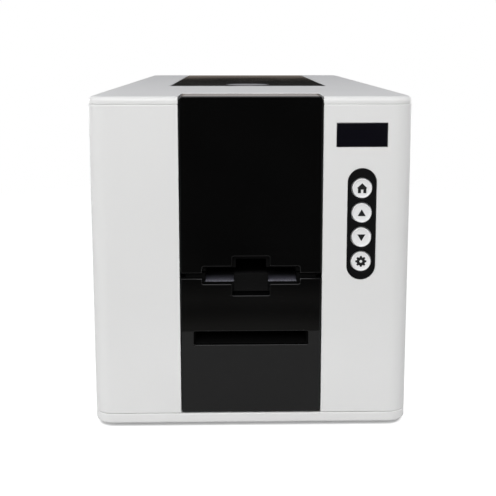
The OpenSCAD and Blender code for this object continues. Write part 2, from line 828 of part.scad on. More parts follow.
module ribbon_cassette() {
    color([0.75, 0.77, 0.8]) {
        mirrored_x() difference() {
            union() {
                box(31.6, 33.2, -46, 96, 122, 156);
                box(31.6, 33.2, -6, 46, 104, 122);
            }
            for (at = [supply_at, takeup_at]) rod_x(30, 35, at, shaft_r + 0.4);
            box(30, 35, 2, 44, 132, 150);
        }
        for (at = concat(guide_at, bar_at)) rod_x(-31.6, 31.6, at, guide_r);
    }
}

module spool(at, roll_r, x0, x1) {
    color([0.2, 0.2, 0.22]) {
        rod_x(x0, x1, at, shaft_r);
        mirrored_x() rod_x(29, 31, at, 9);
    }
    color("mediumpurple") rod_x(-29, 29, at, roll_r);
}

module supply_spool() {
    spool(supply_at, supply_r, -40, 40);
}

module takeup_spool() {
    spool(takeup_at, takeup_r, -40, 45.4);
    color("ivory") along_x(40.4, 45) translate(takeup_at) rotate(pinion_heading)
        gear_outline(gear_m, gear_teeth);
}

module ribbon_pinion() {
    half_pitch = 180 / pinion_teeth;
    color("ivory") along_x(40.6, 44.8) translate(pinion_at) rotate(pinion_heading + 180 + half_pitch)
        gear_outline(gear_m, pinion_teeth);
    color("silver") rod_x(40, 60, pinion_at, 1.2);
}

module ribbon_motor() {
    color("silver") difference() {
        rod_x(47.2, 72, pinion_at, 9.5);
        rod_x(46, 61, pinion_at, 1.2 + run_fit);
    }
}

// Film from the supply roll, round the two guide bars and under the print line, to the take-up roll
module ribbon_film() {
    t = 0.15;
    head = [[14, 99.25], [26, 99.25]];
    bar_r = guide_r + film_gap;
    to_takeup = tangent_normal(takeup_at, guide_at[0], takeup_r, bar_r, -1);
    to_head = tangent_normal(guide_at[0], head[0], bar_r, 0, -1);
    from_head = tangent_normal(head[1], guide_at[1], 0, bar_r, -1);
    from_supply = tangent_normal(guide_at[1], supply_at, bar_r, supply_r, -1);
    film = [takeup_at + (takeup_r + film_gap) * to_takeup, guide_at[0] + bar_r * to_takeup,
        guide_at[0] + bar_r * to_head, head[0], head[1], guide_at[1] + bar_r * from_head,
        guide_at[1] + bar_r * from_supply, supply_at + (supply_r + film_gap) * from_supply];
    color("mediumpurple") along_x(-28.5, 28.5)
        polygon(concat(film, [for (i = [len(film) - 1:-1:0]) film[i] - [0, t]]));
}

// ---------- electronics and rear ----------

module main_board() {
    z1 = socket_z - 0.1;
    z0 = z1 - 1.6;
    color("darkgreen") box(-76, 30, 124, rear - wall - 1, z0, z1);
    color([0.1, 0.1, 0.1]) {
        box(-30, -14, 138, 154, z1, z1 + 1.8);
        box(4, 16, 140, 150, z1, z1 + 1.4);
        for (i = [0:3]) translate([-66 + i * 11, 132, z1]) cylinder(h = 12, r = 4);
    }
    color("silver") for (x = [-72, 26], y = [129, 183])
        translate([x, y, tray_floor]) cylinder(h = z0 - tray_floor, r = 2.6);
}

module rear_sockets() {
    back = rear - 1;
    color([0.08, 0.08, 0.08]) {
        difference() {
            union() {
                rod_y(rear - 16, back, jack_x, socket_z + 6, 5);
                box(jack_x - 4, jack_x + 4, rear - 16, rear - 4, socket_z, socket_z + 6);
            }
            rod_y(rear - 12, back + 1, jack_x, socket_z + 6, 3.4);
        }
        rod_y(rear - 12, back - 1.5, jack_x, socket_z + 6, 1);
    }
    color("silver") {
        difference() {
            box(usb_x - 6, usb_x + 6, rear - 18, back, socket_z, socket_z + 11);
            box(usb_x - 4.2, usb_x + 4.2, rear - 12, back + 1, socket_z + 1.6, socket_z + 9.4);
        }
        box(usb_x - 2.8, usb_x + 2.8, rear - 12, back - 1.5, socket_z + 4, socket_z + 7.2);
        difference() {
            box(net_x - 8, net_x + 8, rear - 22, back, socket_z, socket_z + 13.5);
            box(net_x - 6, net_x + 6, rear - 15, back + 1, socket_z + 2.4, socket_z + 11.4);
        }
    }
}

module switch_housing() {
    x = switch_at[0];
    z = switch_at[1];
    color([0.08, 0.08, 0.08]) difference() {
        box(x - 9.8, x + 9.8, rear - 16, rear, z - 6.4, z + 6.4);
        box(x - 8.2, x + 8.2, rear - 11, rear + 1, z - 5, z + 5);
        translate([x, rear - 5, z - 6]) cylinder(h = 12, r = rocker_pin_r + run_fit);
    }
}

module switch_rocker() {
    // one end of the face stands out and the other lies in
    color([0.1, 0.1, 0.1]) translate([switch_at[0], rear - 5, switch_at[1]]) {
        translate([0, 0, -4.7]) linear_extrude(9.4)
            polygon([[-6.4, 0.4], [0, -4], [6.4, 0.4], [6.6, 1.6], [0, 2.6], [-6.6, 4.6]]);
        translate([0, 0, -5.9]) cylinder(h = 11.8, r = rocker_pin_r);
    }
}

module fan_frame() {
    y1 = rear - wall - 0.2;
    color([0.12, 0.12, 0.12]) difference() {
        box(fan_at[0] - fan_hw, fan_at[0] + fan_hw, y1 - 10, y1, fan_at[1] - fan_hw, fan_at[1] + fan_hw);
        rod_y(y1 - 8.4, y1 + 1, fan_at[0], fan_at[1], fan_bore_r);
        difference() {
            rod_y(y1 - 11, y1 - 8, fan_at[0], fan_at[1], fan_bore_r);
            rod_y(y1 - 12, y1 - 7, fan_at[0], fan_at[1], 8);
            for (a = [0, 60, 120]) translate([fan_at[0], y1 - 12, fan_at[1]]) rotate([0, a, 0])
                translate([-20, 0, -1]) cube([40, 5, 2]);
        }
    }
    color("silver") rod_y(y1 - 8.4, y1 - 3, fan_at[0], fan_at[1], fan_pin_r);
}

module fan_impeller() {
    y1 = rear - wall - 1;
    blades = 7;
    color([0.1, 0.1, 0.1]) difference() {
        union() {
            rod_y(y1 - 7, y1, fan_at[0], fan_at[1], 10);
            for (i = [0:blades - 1]) translate([fan_at[0], y1 - 3.4, fan_at[1]])
                rotate([0, i * 360 / blades, 0]) translate([9, 0, 0]) rotate([38, 0, 0])
                    translate([0, -0.5, -3.6]) cube([9, 1, 7.2]);
        }
        rod_y(y1 - 8, y1 - 2, fan_at[0], fan_at[1], fan_pin_r + run_fit);
    }
}

// Screws through the rear cover and up through the base
module case_screws() {
    color("silver") {
        for (at = rear_screw_at) {
            rod_y(rear - 22, rear - 1.2, at[0], at[1], screw_r);
            rod_y(rear - 1.2, rear - 0.1, at[0], at[1], head_r);
        }
        mirrored_x() for (at = post_at) {
            translate([at[0], at[1], foot_h]) cylinder(h = screw_len, r = screw_r);
            translate([at[0], at[1], foot_h - 1.7]) cylinder(h = 1.7, r = head_r);
        }
    }
}

base_tray();
rubber_feet();
left_cover();
right_cover();
rear_cover();
top_cover();
front_frame();
lower_fascia();
card_throat();
card_hopper();
outlet_chute();
bay_liner();
hopper_door();
door_liner();
door_hinge_pins();
lid();
lid_hinge_pins();
lid_brackets();
lid_button();
lid_latch();
latch_pin();
head_arm();
printhead();
head_pin();
button_plate();
button_home();
button_up();
button_down();
button_settings();
display_window();
front_board();
left_frame();
right_frame();
frame_ties();
shaft_bushes();
pick_roller();
entry_roller();
entry_pinch();
platen_roller();
exit_roller();
exit_pinch();
feed_motor();
motor_pulley();
drive_belts();
card_gate();
diverter_ramp();
ribbon_cassette();
supply_spool();
takeup_spool();
ribbon_film();
ribbon_motor();
ribbon_pinion();
main_board();
rear_sockets();
switch_housing();
switch_rocker();
fan_frame();
fan_impeller();
case_screws();
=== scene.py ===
import json
import math

import bmesh
import bpy
from mathutils import Matrix, Vector


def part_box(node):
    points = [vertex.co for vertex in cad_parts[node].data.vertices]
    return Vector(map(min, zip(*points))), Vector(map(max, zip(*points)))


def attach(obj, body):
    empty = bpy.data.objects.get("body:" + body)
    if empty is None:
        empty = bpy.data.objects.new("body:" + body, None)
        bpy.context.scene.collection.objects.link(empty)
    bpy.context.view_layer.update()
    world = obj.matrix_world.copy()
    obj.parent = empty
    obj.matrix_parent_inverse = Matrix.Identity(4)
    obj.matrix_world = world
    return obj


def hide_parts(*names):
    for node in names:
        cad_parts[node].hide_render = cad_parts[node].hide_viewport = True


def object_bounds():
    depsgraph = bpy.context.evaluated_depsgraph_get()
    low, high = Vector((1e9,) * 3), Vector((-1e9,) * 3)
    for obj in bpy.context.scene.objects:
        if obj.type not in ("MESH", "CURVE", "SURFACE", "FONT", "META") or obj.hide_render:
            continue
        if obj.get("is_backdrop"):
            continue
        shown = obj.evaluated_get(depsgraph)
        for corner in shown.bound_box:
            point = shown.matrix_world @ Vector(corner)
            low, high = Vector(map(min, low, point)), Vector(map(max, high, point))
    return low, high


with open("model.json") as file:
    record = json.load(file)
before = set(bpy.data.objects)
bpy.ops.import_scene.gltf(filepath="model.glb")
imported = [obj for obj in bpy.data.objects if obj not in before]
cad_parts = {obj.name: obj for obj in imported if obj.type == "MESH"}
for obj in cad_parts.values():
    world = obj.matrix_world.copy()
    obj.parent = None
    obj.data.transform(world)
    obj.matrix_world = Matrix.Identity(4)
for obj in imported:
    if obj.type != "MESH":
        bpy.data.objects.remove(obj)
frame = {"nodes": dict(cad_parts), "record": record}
cad_low, cad_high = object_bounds()

# ---- Camera ----
# Stands close before the printer, a little higher than its top, and looks slightly down. The
# shift keeps the case's sides close to upright in the picture.

EYE = (-0.0081, -0.6673, 0.2395)
TILT = 7.61
YAW = 1.05
LENS = 57.06
SHIFT = (-0.0080, -0.19)

camera_data = bpy.data.cameras.new("camera")
camera_data.lens = LENS
camera_data.shift_x, camera_data.shift_y = SHIFT
camera_data.dof.use_dof = False
camera_data.clip_start = 0.01
camera = bpy.data.objects.new("camera", camera_data)
camera.location = EYE
camera.rotation_euler = (math.radians(90 - TILT), 0, math.radians(-YAW))
bpy.context.scene.collection.objects.link(camera)
bpy.context.scene.camera = camera
bpy.context.scene.view_settings.view_transform = "Standard"

# ---- Table ----
# A pale painted board whose front edge lies a hand's length before the printer. It takes the
# printer's soft shadow and clears to white away from it. Under the tray its glow is turned
# down, a painted shadow in the gap.


def add_node(tree, kind, inputs=None, **settings):
    """Adds a node; each input is a plain value or the output that feeds it."""
    node = tree.nodes.new(kind)
    for name, value in settings.items():
        setattr(node, name, value)
    for key, value in (inputs or {}).items():
        if isinstance(value, bpy.types.NodeSocket):
            tree.links.new(value, node.inputs[key])
        else:
            node.inputs[key].default_value = value
    return node


TABLE_FRONT = -0.363
TABLE_BACK = 2.5
TABLE_HALF_WIDTH = 2.5
TABLE_GLOW = 0.80
TABLE_ALBEDO = 0.45
SHADOW_REACH = (0.30, 0.75)
UNDER_GLOW = 0.35
MIRRORED_SHARE = 0.75

# The camera, the table and the lamps are in metres, and everything on the printer in millimetres.
MM = 0.001
CORNER_R = 12
GAP_SHADE = (-3.4, -0.8)

bm = bmesh.new()
bmesh.ops.create_grid(bm, x_segments=1, y_segments=1, size=1)
bmesh.ops.scale(bm, verts=bm.verts, vec=(TABLE_HALF_WIDTH, (TABLE_BACK - TABLE_FRONT) / 2, 1))
bmesh.ops.translate(bm, verts=bm.verts, vec=(0, (TABLE_BACK + TABLE_FRONT) / 2, 0))
table_data = bpy.data.meshes.new("table")
bm.to_mesh(table_data)
bm.free()
table = bpy.data.objects.new("table", table_data)
bpy.context.scene.collection.objects.link(table)
table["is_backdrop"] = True


def camera_and_mirrors(tree):
    """Outputs that are 1 for the camera's rays and 1 for rays off a mirror or through glass."""
    ray = add_node(tree, "ShaderNodeLightPath").outputs
    mirrored = add_node(tree, "ShaderNodeMath", {
        0: ray["Is Glossy Ray"], 1: ray["Is Transmission Ray"]}, operation="MAXIMUM").outputs[0]
    return ray["Is Camera Ray"], mirrored


painted_board = bpy.data.materials.new("painted_board")
painted_board.use_nodes = True
tree = painted_board.node_tree
tree.nodes.clear()
place = add_node(tree, "ShaderNodeTexCoord").outputs["Object"]
reach = add_node(tree, "ShaderNodeVectorMath", {0: place}, operation="LENGTH").outputs["Value"]
away = add_node(tree, "ShaderNodeMapRange", {
    "Value": reach, "From Min": SHADOW_REACH[0], "From Max": SHADOW_REACH[1]}).outputs[0]
camera_looks, mirrored = camera_and_mirrors(tree)
mirrored = add_node(tree, "ShaderNodeMath", {
    0: mirrored, 1: MIRRORED_SHARE}, operation="MULTIPLY").outputs[0]
seen = add_node(tree, "ShaderNodeMath", {0: camera_looks, 1: mirrored}, operation="MAXIMUM").outputs[0]
# How far a point lies past the core of the footprint. The outline runs CORNER_R round the core.
core = (cad_high.x - CORNER_R * MM, cad_high.y - CORNER_R * MM, 1)
past = add_node(tree, "ShaderNodeVectorMath", {0: place}, operation="ABSOLUTE").outputs[0]
past = add_node(tree, "ShaderNodeVectorMath", {0: past, 1: core}, operation="SUBTRACT").outputs[0]
past = add_node(tree, "ShaderNodeVectorMath", {0: past, 1: (0, 0, 0)}, operation="MAXIMUM").outputs[0]
past = add_node(tree, "ShaderNodeVectorMath", {0: past}, operation="LENGTH").outputs["Value"]
# Painted shadow: the glow falls to UNDER_GLOW in the gap under the tray.
clear = add_node(tree, "ShaderNodeMapRange", {
    "Value": past, "From Min": (CORNER_R + GAP_SHADE[0]) * MM,
    "From Max": (CORNER_R + GAP_SHADE[1]) * MM, "To Min": UNDER_GLOW}).outputs[0]
glow = add_node(tree, "ShaderNodeMath", {0: clear, 1: TABLE_GLOW}, operation="MULTIPLY").outputs[0]
glow = add_node(tree, "ShaderNodeMath", {0: seen, 1: glow}, operation="MULTIPLY").outputs[0]
matt = add_node(tree, "ShaderNodeBsdfDiffuse", {"Color": (TABLE_ALBEDO,) * 3 + (1,)}).outputs[0]
pale = add_node(tree, "ShaderNodeEmission", {"Strength": glow}).outputs[0]
white = add_node(tree, "ShaderNodeEmission", {"Strength": 1.0}).outputs[0]
near = add_node(tree, "ShaderNodeAddShader", {0: matt, 1: pale}).outputs[0]
fade = add_node(tree, "ShaderNodeMath", {0: away, 1: seen}, operation="MULTIPLY").outputs[0]
board = add_node(tree, "ShaderNodeMixShader", {0: fade, 1: near, 2: white}).outputs[0]
add_node(tree, "ShaderNodeOutputMaterial", {"Surface": board})
table_data.materials.append(painted_board)

# ---- Studio ----
# White behind the object. Polished faces mirror a room with a pale floor, dark walls and a bright
# ceiling. Five softboxes and two low strips give the plain light.

# Height of a direction above the horizon as a share of its length, and the room's colour there.
# The stops lie close where the lid and the door's top mirror the room, just above the horizon.
ROOM = ((-0.36, "#aeaca8"), (-0.341, "#a09e9a"), (-0.333, "#7c7a76"), (-0.325, "#605e5c"),
        (-0.318, "#6b6966"), (-0.31, "#7c7a77"), (-0.29, "#363534"), (-0.25, "#262524"),
        (-0.02, "#262524"), (0.0, "#958c85"), (0.0334, "#958c85"), (0.0346, "#655a4e"),
        (0.0358, "#40372e"), (0.037, "#2d2925"), (0.0382, "#242423"), (0.0505, "#242423"),
        (0.054, "#c0bbb7"), (0.08, "#a5a5ab"), (0.12, "#a5a5ab"), (0.60, "#dcdde3"))
CEILING_SHARE = 0.25


def linear(code):
    """An sRGB hex colour as linear red, green, blue and alpha."""
    parts = [int(code[i:i + 2], 16) / 255 for i in (1, 3, 5)]
    return tuple(c / 12.92 if c <= 0.04045 else ((c + 0.055) / 1.055) ** 2.4 for c in parts) + (1,)


def colour_ramp(tree, value, stops, interpolation="LINEAR"):
    """The colour that a value picks from (position, hex colour) stops."""
    ramp = add_node(tree, "ShaderNodeValToRGB", {"Fac": value})
    ramp.color_ramp.interpolation = interpolation
    elements = ramp.color_ramp.elements
    while len(elements) < len(stops):
        elements.new(1.0)
    for element, (position, colour) in zip(elements, stops):
        element.position = position
        element.color = linear(colour)
    return ramp.outputs["Color"]


world = bpy.data.worlds.new("studio")
world.use_nodes = True
tree = world.node_tree
tree.nodes.clear()
heading = add_node(tree, "ShaderNodeTexCoord").outputs["Generated"]
rise = add_node(tree, "ShaderNodeSeparateXYZ", {0: heading}).outputs["Z"]
floor, ceiling = ROOM[0][0], ROOM[-1][0]
rise = add_node(tree, "ShaderNodeMapRange", {
    "Value": rise, "From Min": floor, "From Max": ceiling}).outputs[0]
room = colour_ramp(tree, rise, [((height - floor) / (ceiling - floor), code) for height, code in ROOM])
camera_looks, mirrored = camera_and_mirrors(tree)
share = add_node(tree, "ShaderNodeMapRange", {
    "Value": mirrored, "To Min": CEILING_SHARE, "To Max": 1.0}).outputs[0]
shade = add_node(tree, "ShaderNodeMix", {
    0: camera_looks, 6: room, 7: (1, 1, 1, 1)}, data_type="RGBA").outputs[2]
strength = add_node(tree, "ShaderNodeMix", {0: camera_looks, 2: share, 3: 1.0}).outputs[0]
background = add_node(tree, "ShaderNodeBackground", {"Color": shade, "Strength": strength}).outputs[0]
add_node(tree, "ShaderNodeOutputWorld", {"Surface": background})
bpy.context.scene.world = world

# name, place, aim, width, height, watts
SOFTBOXES = (
    ("front_softbox", (-0.25, -1.5, 1.15), (0, -0.15, 0.10), 1.5, 0.8, 27.5),
    ("left_softbox", (-1.7, 0.0, 0.5), (0, 0, 0.10), 1.2, 0.6, 8),
    ("right_softbox", (1.7, 0.0, 0.5), (0, 0, 0.10), 1.2, 0.6, 8),
    ("left_strip", (-0.62, -1.55, 0.0), (0, -0.19, 0.15), 0.45, 0.6, 1.5),
    ("right_strip", (0.62, -1.55, 0.0), (0, -0.19, 0.15), 0.45, 0.6, 1.5),
    ("rear_left_softbox", (-1.2, 1.6, 0.20), (0, 0.19, 0.10), 0.9, 0.5, 10),
    ("rear_right_softbox", (1.2, 1.6, 0.20), (0, 0.19, 0.10), 0.9, 0.5, 10),
)
for name, place, aim, width, height, watts in SOFTBOXES:
    lamp = bpy.data.lights.new(name, "AREA")
    lamp.shape = "RECTANGLE"
    lamp.size = width
    lamp.size_y = height
    lamp.energy = watts
    holder = bpy.data.objects.new(name, lamp)
    holder.location = place
    holder.rotation_euler = (Vector(aim) - Vector(place)).to_track_quat("-Z", "Y").to_euler()
    bpy.context.scene.collection.objects.link(holder)

# ---- Base tray ----
# The tray that carries the machine: white ABS, injection moulded, rounded along its lower and
# upper rim, with a row of cooling slots on each side of its floor. Six screws come up through it.

MERGE = 0.001
Y, Z = 1, 2
FLAT = math.radians(1)
SHARP = math.radians(30)
EDGE_BREAK = 0.35
BASE_ROUND = 1.6
RIM_ROUND = 0.6
LIP_H = 3.2
FLOOR_H = 5
half_w, half_d, top = cad_high / MM
front = cad_low.y / MM
rear = half_d
body_of = {node: body for body, group in frame["record"]["behaviour"]["bodies"].items() for node in group}


def new_finish(name, colour, roughness, metallic=0.0, ior=1.5):
    """A material with one Principled shader: returns it, its tree, the shader and Object coordinates."""
    finish = bpy.data.materials.new(name)
    finish.use_nodes = True
    tree = finish.node_tree
    shader = tree.nodes["Principled BSDF"]
    shader.inputs["Base Color"].default_value = linear(colour)
    shader.inputs["Roughness"].default_value = roughness
    shader.inputs["Metallic"].default_value = metallic
    shader.inputs["IOR"].default_value = ior
    return finish, tree, shader, add_node(tree, "ShaderNodeTexCoord").outputs["Object"]


def tool_grain(tree, shader, place, size, depth, smooth, rough):
    """Grain that a tool leaves: its size and depth in millimetres, and the roughness it runs between."""
    grain = add_node(tree, "ShaderNodeTexNoise", {
        "Vector": place, "Scale": 1 / (size * MM), "Detail": 2.0, "Roughness": 0.6}).outputs[0]
    roughness = add_node(tree, "ShaderNodeMapRange", {
        "Value": grain, "From Min": 0.3, "From Max": 0.7, "To Min": smooth, "To Max": rough}).outputs[0]
    bump = add_node(tree, "ShaderNodeBump", {
        "Height": grain, "Distance": depth * MM, "Strength": 1.0}).outputs[0]
    tree.links.new(roughness, shader.inputs["Roughness"])
    tree.links.new(bump, shader.inputs["Normal"])
    return grain


def colour_drift(tree, shader, place, size, dark, light):
    """Lets the base colour drift between two shades over patches of the given size in millimetres."""
    patch = add_node(tree, "ShaderNodeTexNoise", {
        "Vector": place, "Scale": 1 / (size * MM), "Detail": 1.0}).outputs[0]
    shade = add_node(tree, "ShaderNodeMix", {
        0: patch, 6: linear(dark), 7: linear(light)}, data_type="RGBA").outputs[2]
    tree.links.new(shade, shader.inputs["Base Color"])


def mesh_of(node):
    """A copy of a CAD node's mesh, merged, with its flat faces joined."""
    bm = bmesh.new()
    bm.from_mesh(frame["nodes"][node].data)
    bmesh.ops.remove_doubles(bm, verts=bm.verts, dist=MERGE * MM)
    bmesh.ops.dissolve_limit(bm, angle_limit=FLAT, verts=bm.verts, edges=bm.edges)
    return bm


def middle(item):
    """The middle of an edge or a face, in millimetres."""
    return sum((v.co for v in item.verts), Vector()) / len(item.verts) / MM


def lies_at(edge, axis, value):
    """True if an edge lies in the plane across an axis at a value in millimetres."""
    return all(abs(v.co[axis] / MM - value) < 0.05 for v in edge.verts)


def soften(bm, width, segments, chosen=lambda edge: True):
    """Rounds those sharp edges that chosen picks, to a width in millimetres."""
    edges = [e for e in bm.edges if e.calc_face_angle(0) > SHARP and chosen(e)]
    bmesh.ops.bevel(bm, geom=edges, offset=width * MM, segments=segments, profile=0.5,
                    affect="EDGES", material=-1, clamp_overlap=False)


def soft_copy(node, width, segments=2):
    """A copy of a CAD node's mesh with every sharp edge rounded."""
    bm = mesh_of(node)
    soften(bm, width, segments)
    return bm


def paint(bm, index, chosen):
    """Gives the faces that chosen picks the finish of that index."""
    for face in bm.faces:
        if chosen(face):
            face.material_index = index


def place_piece(bm, name, node, *finishes, stands_in=True):
    """Makes a shaded piece of a bmesh, on the body of a CAD node that it stands in for or joins."""
    data = bpy.data.meshes.new(name)
    bm.to_mesh(data)
    bm.free()
    data.polygons.foreach_set("use_smooth", [True] * len(data.polygons))
    data.set_sharp_from_angle(angle=SHARP)
    for finish in finishes:
        data.materials.append(finish)
    piece = bpy.data.objects.new(name, data)
    bpy.context.scene.collection.objects.link(piece)
    flatten = piece.modifiers.new("flat_faces", "WEIGHTED_NORMAL")
    flatten.keep_sharp = True
    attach(piece, body_of[node])
    if stands_in:
        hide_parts(node)


def outer_rim(edge):
    """True if an edge lies on the case's outline, its round corners included."""
    at = middle(edge)
    past = Vector((max(abs(at.x) - half_w + CORNER_R, 0), max(abs(at.y) - half_d + CORNER_R, 0)))
    return past.length > CORNER_R - 1


# White ABS: satin, from a fine spark-eroded tool. The real grain is 0.1 mm; it is drawn coarser so
# that it shows as a faint unevenness of the sheen.
white_abs, tree, shader, place = new_finish("white_moulded_abs", "#dededd", 0.5)
tool_grain(tree, shader, place, 0.6, 0.012, 0.42, 0.58)
colour_drift(tree, shader, place, 60, "#dcdcdb", "#e0e0df")

# The rim lies under a lip that stands up inside the covers.
tray_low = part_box("base_tray")[0].z / MM
tray_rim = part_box("base_tray")[1].z / MM - LIP_H
bm = mesh_of("base_tray")
soften(bm, BASE_ROUND, 6, lambda e: lies_at(e, Z, tray_low) and outer_rim(e))
soften(bm, RIM_ROUND, 4, lambda e: lies_at(e, Z, tray_rim) and outer_rim(e))
soften(bm, EDGE_BREAK, 2, lambda e: middle(e).z > tray_low + FLOOR_H)
place_piece(bm, "base_tray_moulding", "base_tray", white_abs)

# ---- Feet ----
# Four pressed rubber feet, glued under the tray. Each has a rounded lower edge and a shallow cup
# in the middle that grips the table.


def turned(bm, outline, place, steps=48):
    """Spins an outline of (radius, height) points, in millimetres, round the Z axis of place."""
    points = [bm.verts.new(place @ Vector((r * MM, 0, h * MM))) for r, h in outline]
    lines = [bm.edges.new(pair) for pair in zip(points, points[1:])]
    bmesh.ops.spin(bm, geom=points + lines, cent=place.translation, angle=2 * math.pi, steps=steps,
                   axis=place.to_3x3() @ Vector((0, 0, 1)), use_merge=True)
    bmesh.ops.remove_doubles(bm, verts=bm.verts, dist=MERGE * MM)
    bmesh.ops.recalc_face_normals(bm, faces=bm.faces)


# Black rubber: matt, faintly dusty, with a fine pressed grain.
foot_rubber, tree, shader, place = new_finish("pressed_black_rubber", "#1c1c1c", 0.8)
tool_grain(tree, shader, place, 0.8, 0.04, 0.7, 0.9)
colour_drift(tree, shader, place, 5, "#181818", "#262625")

FOOT_AT = (76, 162)
FOOT_R = 9
foot_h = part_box("rubber_feet")[1].z / MM
FOOT_OUTLINE = ((0, 0.5), (4.5, 0.5), (5.2, 0.3), (5.6, 0), (8.0, 0), (8.6, 0.2), (8.9, 0.6),
                (FOOT_R, 1.2), (FOOT_R, foot_h), (0, foot_h))
bm = bmesh.new()
for side in (-1, 1):
    for end in (-1, 1):
        turned(bm, FOOT_OUTLINE, Matrix.Translation((side * FOOT_AT[0] * MM, end * FOOT_AT[1] * MM, 0)))
place_piece(bm, "pressed_feet", "rubber_feet", foot_rubber)

# ---- Engine frame ----
# Two side plates of zinc-plated sheet steel, punched and bent, held apart by riveted steel rods.
# Sintered bronze bushes are pressed into them for the shafts.

SHEET_EDGE = 0.2


def fine_lines(tree, shader, place, stretch, size, depth, smooth, rough):
    """Fine lines of the given size in millimetres, drawn out along the axes whose stretch is small."""
    along = add_node(tree, "ShaderNodeMapping", {"Vector": place, "Scale": stretch}).outputs[0]
    return tool_grain(tree, shader, along, size, depth, smooth, rough)


# Zinc-plated sheet: bright grey with faint crystals in the plating and a trace of blue passivation.
zinc_sheet, tree, shader, place = new_finish("zinc_plated_sheet", "#b9bcc0", 0.36, metallic=1.0)
crystals = add_node(tree, "ShaderNodeTexVoronoi", {
    "Vector": place, "Scale": 1 / (5 * MM)}).outputs["Color"]
roughness = add_node(tree, "ShaderNodeMapRange", {
    "Value": crystals, "To Min": 0.27, "To Max": 0.45}).outputs[0]
tree.links.new(roughness, shader.inputs["Roughness"])
colour_drift(tree, shader, place, 14, "#b3b8bf", "#c1c0bb")

# Turned steel: bright, with fine rings left by the tool. They are 0.1 mm apart and drawn at 0.3 mm.
bright_steel, tree, shader, place = new_finish("turned_bright_steel", "#c6c7c9", 0.22, metallic=1.0)
fine_lines(tree, shader, place, (1, 0.02, 0.02), 0.3, 0.004, 0.16, 0.3)

# Sintered bronze: dull gold, porous, dark with oil in the pores.
sintered_bronze, tree, shader, place = new_finish("sintered_bronze", "#a67c46", 0.5, metallic=1.0)
tool_grain(tree, shader, place, 0.35, 0.03, 0.4, 0.65)
colour_drift(tree, shader, place, 0.4, "#8b6637", "#b88c54")

place_piece(soft_copy("left_frame", SHEET_EDGE, 1), "left_side_plate", "left_frame", zinc_sheet)
place_piece(soft_copy("right_frame", SHEET_EDGE, 1), "right_side_plate", "right_frame", zinc_sheet)
place_piece(soft_copy("frame_ties", 0.3), "tie_rods", "frame_ties", bright_steel)
place_piece(soft_copy("shaft_bushes", 0.15), "bronze_bushes", "shaft_bushes", sintered_bronze)

# ---- Rollers ----
# Ground rubber sleeves on turned steel shafts. The driven ones end in moulded belt pulleys with one
# flanged groove for each belt, and the two upper ones run free on the card.

PULLEY_X = -40
SLEEVE_X = 30
SHAFT_R = 3
PINCH_SHAFT_R = 2
ON_SHAFT = 0.2


def off_axis(face, y, z):
    """Mean distance, in millimetres, of a face's corners from the line along X through y and z."""
    return sum(math.hypot(v.co.y / MM - y, v.co.z / MM - z) for v in face.verts) / len(face.verts)


# Ground rubber: matt charcoal, with the fine rings that the grinding wheel leaves.
roller_rubber, tree, shader, place = new_finish("ground_roller_rubber", "#3a3a3c", 0.75)
fine_lines(tree, shader, place, (1, 0.05, 0.05), 0.4, 0.03, 0.66, 0.86)

# Black acetal: waxy, half-gloss, as it comes from the mould.
black_acetal, tree, shader, place = new_finish("black_acetal", "#161617", 0.38, ior=1.48)
tool_grain(tree, shader, place, 0.8, 0.01, 0.32, 0.46)

for node, r in (("pick_roller", SHAFT_R), ("entry_roller", SHAFT_R), ("platen_roller", SHAFT_R),
                ("exit_roller", SHAFT_R), ("entry_pinch", PINCH_SHAFT_R), ("exit_pinch", PINCH_SHAFT_R)):
    low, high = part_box(node)
    y, z = (low.y + high.y) / 2 / MM, (low.z + high.z) / 2 / MM
    bm = soft_copy(node, 0.12)
    paint(bm, 1, lambda f: abs(middle(f).x) < SLEEVE_X and off_axis(f, y, z) > r + ON_SHAFT)
    paint(bm, 2, lambda f: middle(f).x < PULLEY_X and off_axis(f, y, z) > r + ON_SHAFT)
    place_piece(bm, node + "_sleeve_and_shaft", node, bright_steel, roller_rubber, black_acetal)

# ---- Feed motor and belts ----
# A stepper motor between the side plates: die-cast aluminium ends with a stack of steel sheets
# between them. A small pulley on its shaft drives the rollers through four flat rubber belts.

MOTOR_AT = (60, 50)
MOTOR_CORE_R = 10
MOTOR_SHAFT_R = 2.5
STACK = (-29, -12)
SHEET_SINK = 0.3

# Die-cast aluminium: pale grey and slightly sandy.
cast_aluminium, tree, shader, place = new_finish("die_cast_aluminium", "#b4b5b7", 0.45, metallic=1.0)
tool_grain(tree, shader, place, 0.5, 0.02, 0.36, 0.55)

# Stack of oiled steel sheets: dark, each 0.5 mm sheet a line along the motor.
laminations, tree, shader, place = new_finish("steel_laminations", "#55565a", 0.45, metallic=1.0)
fine_lines(tree, shader, place, (1, 0.01, 0.01), 0.5, 0.08, 0.35, 0.6)

# Belt rubber: black neoprene, slightly shiny where it runs.
neoprene, tree, shader, place = new_finish("neoprene_belting", "#151516", 0.6)
tool_grain(tree, shader, place, 0.6, 0.03, 0.5, 0.72)


def split_at(bm, x):
    """Splits the faces of a mesh along the plane across X at a value in millimetres."""
    bmesh.ops.bisect_plane(bm, geom=bm.verts[:] + bm.edges[:] + bm.faces[:], dist=MERGE * MM,
                           plane_co=(x * MM, 0, 0), plane_no=(1, 0, 0))


# The stack lies a little lower than the cast ends.
bm = soft_copy("feed_motor", 0.5)
for x in STACK:
    split_at(bm, x)
paint(bm, 1, lambda f: STACK[0] < middle(f).x < STACK[1] and off_axis(f, *MOTOR_AT) > MOTOR_CORE_R)
bmesh.ops.inset_region(bm, faces=[f for f in bm.faces if f.material_index == 1], thickness=0.2 * MM,
                       depth=-SHEET_SINK * MM, use_even_offset=True)
place_piece(bm, "stepper_motor", "feed_motor", cast_aluminium, laminations)

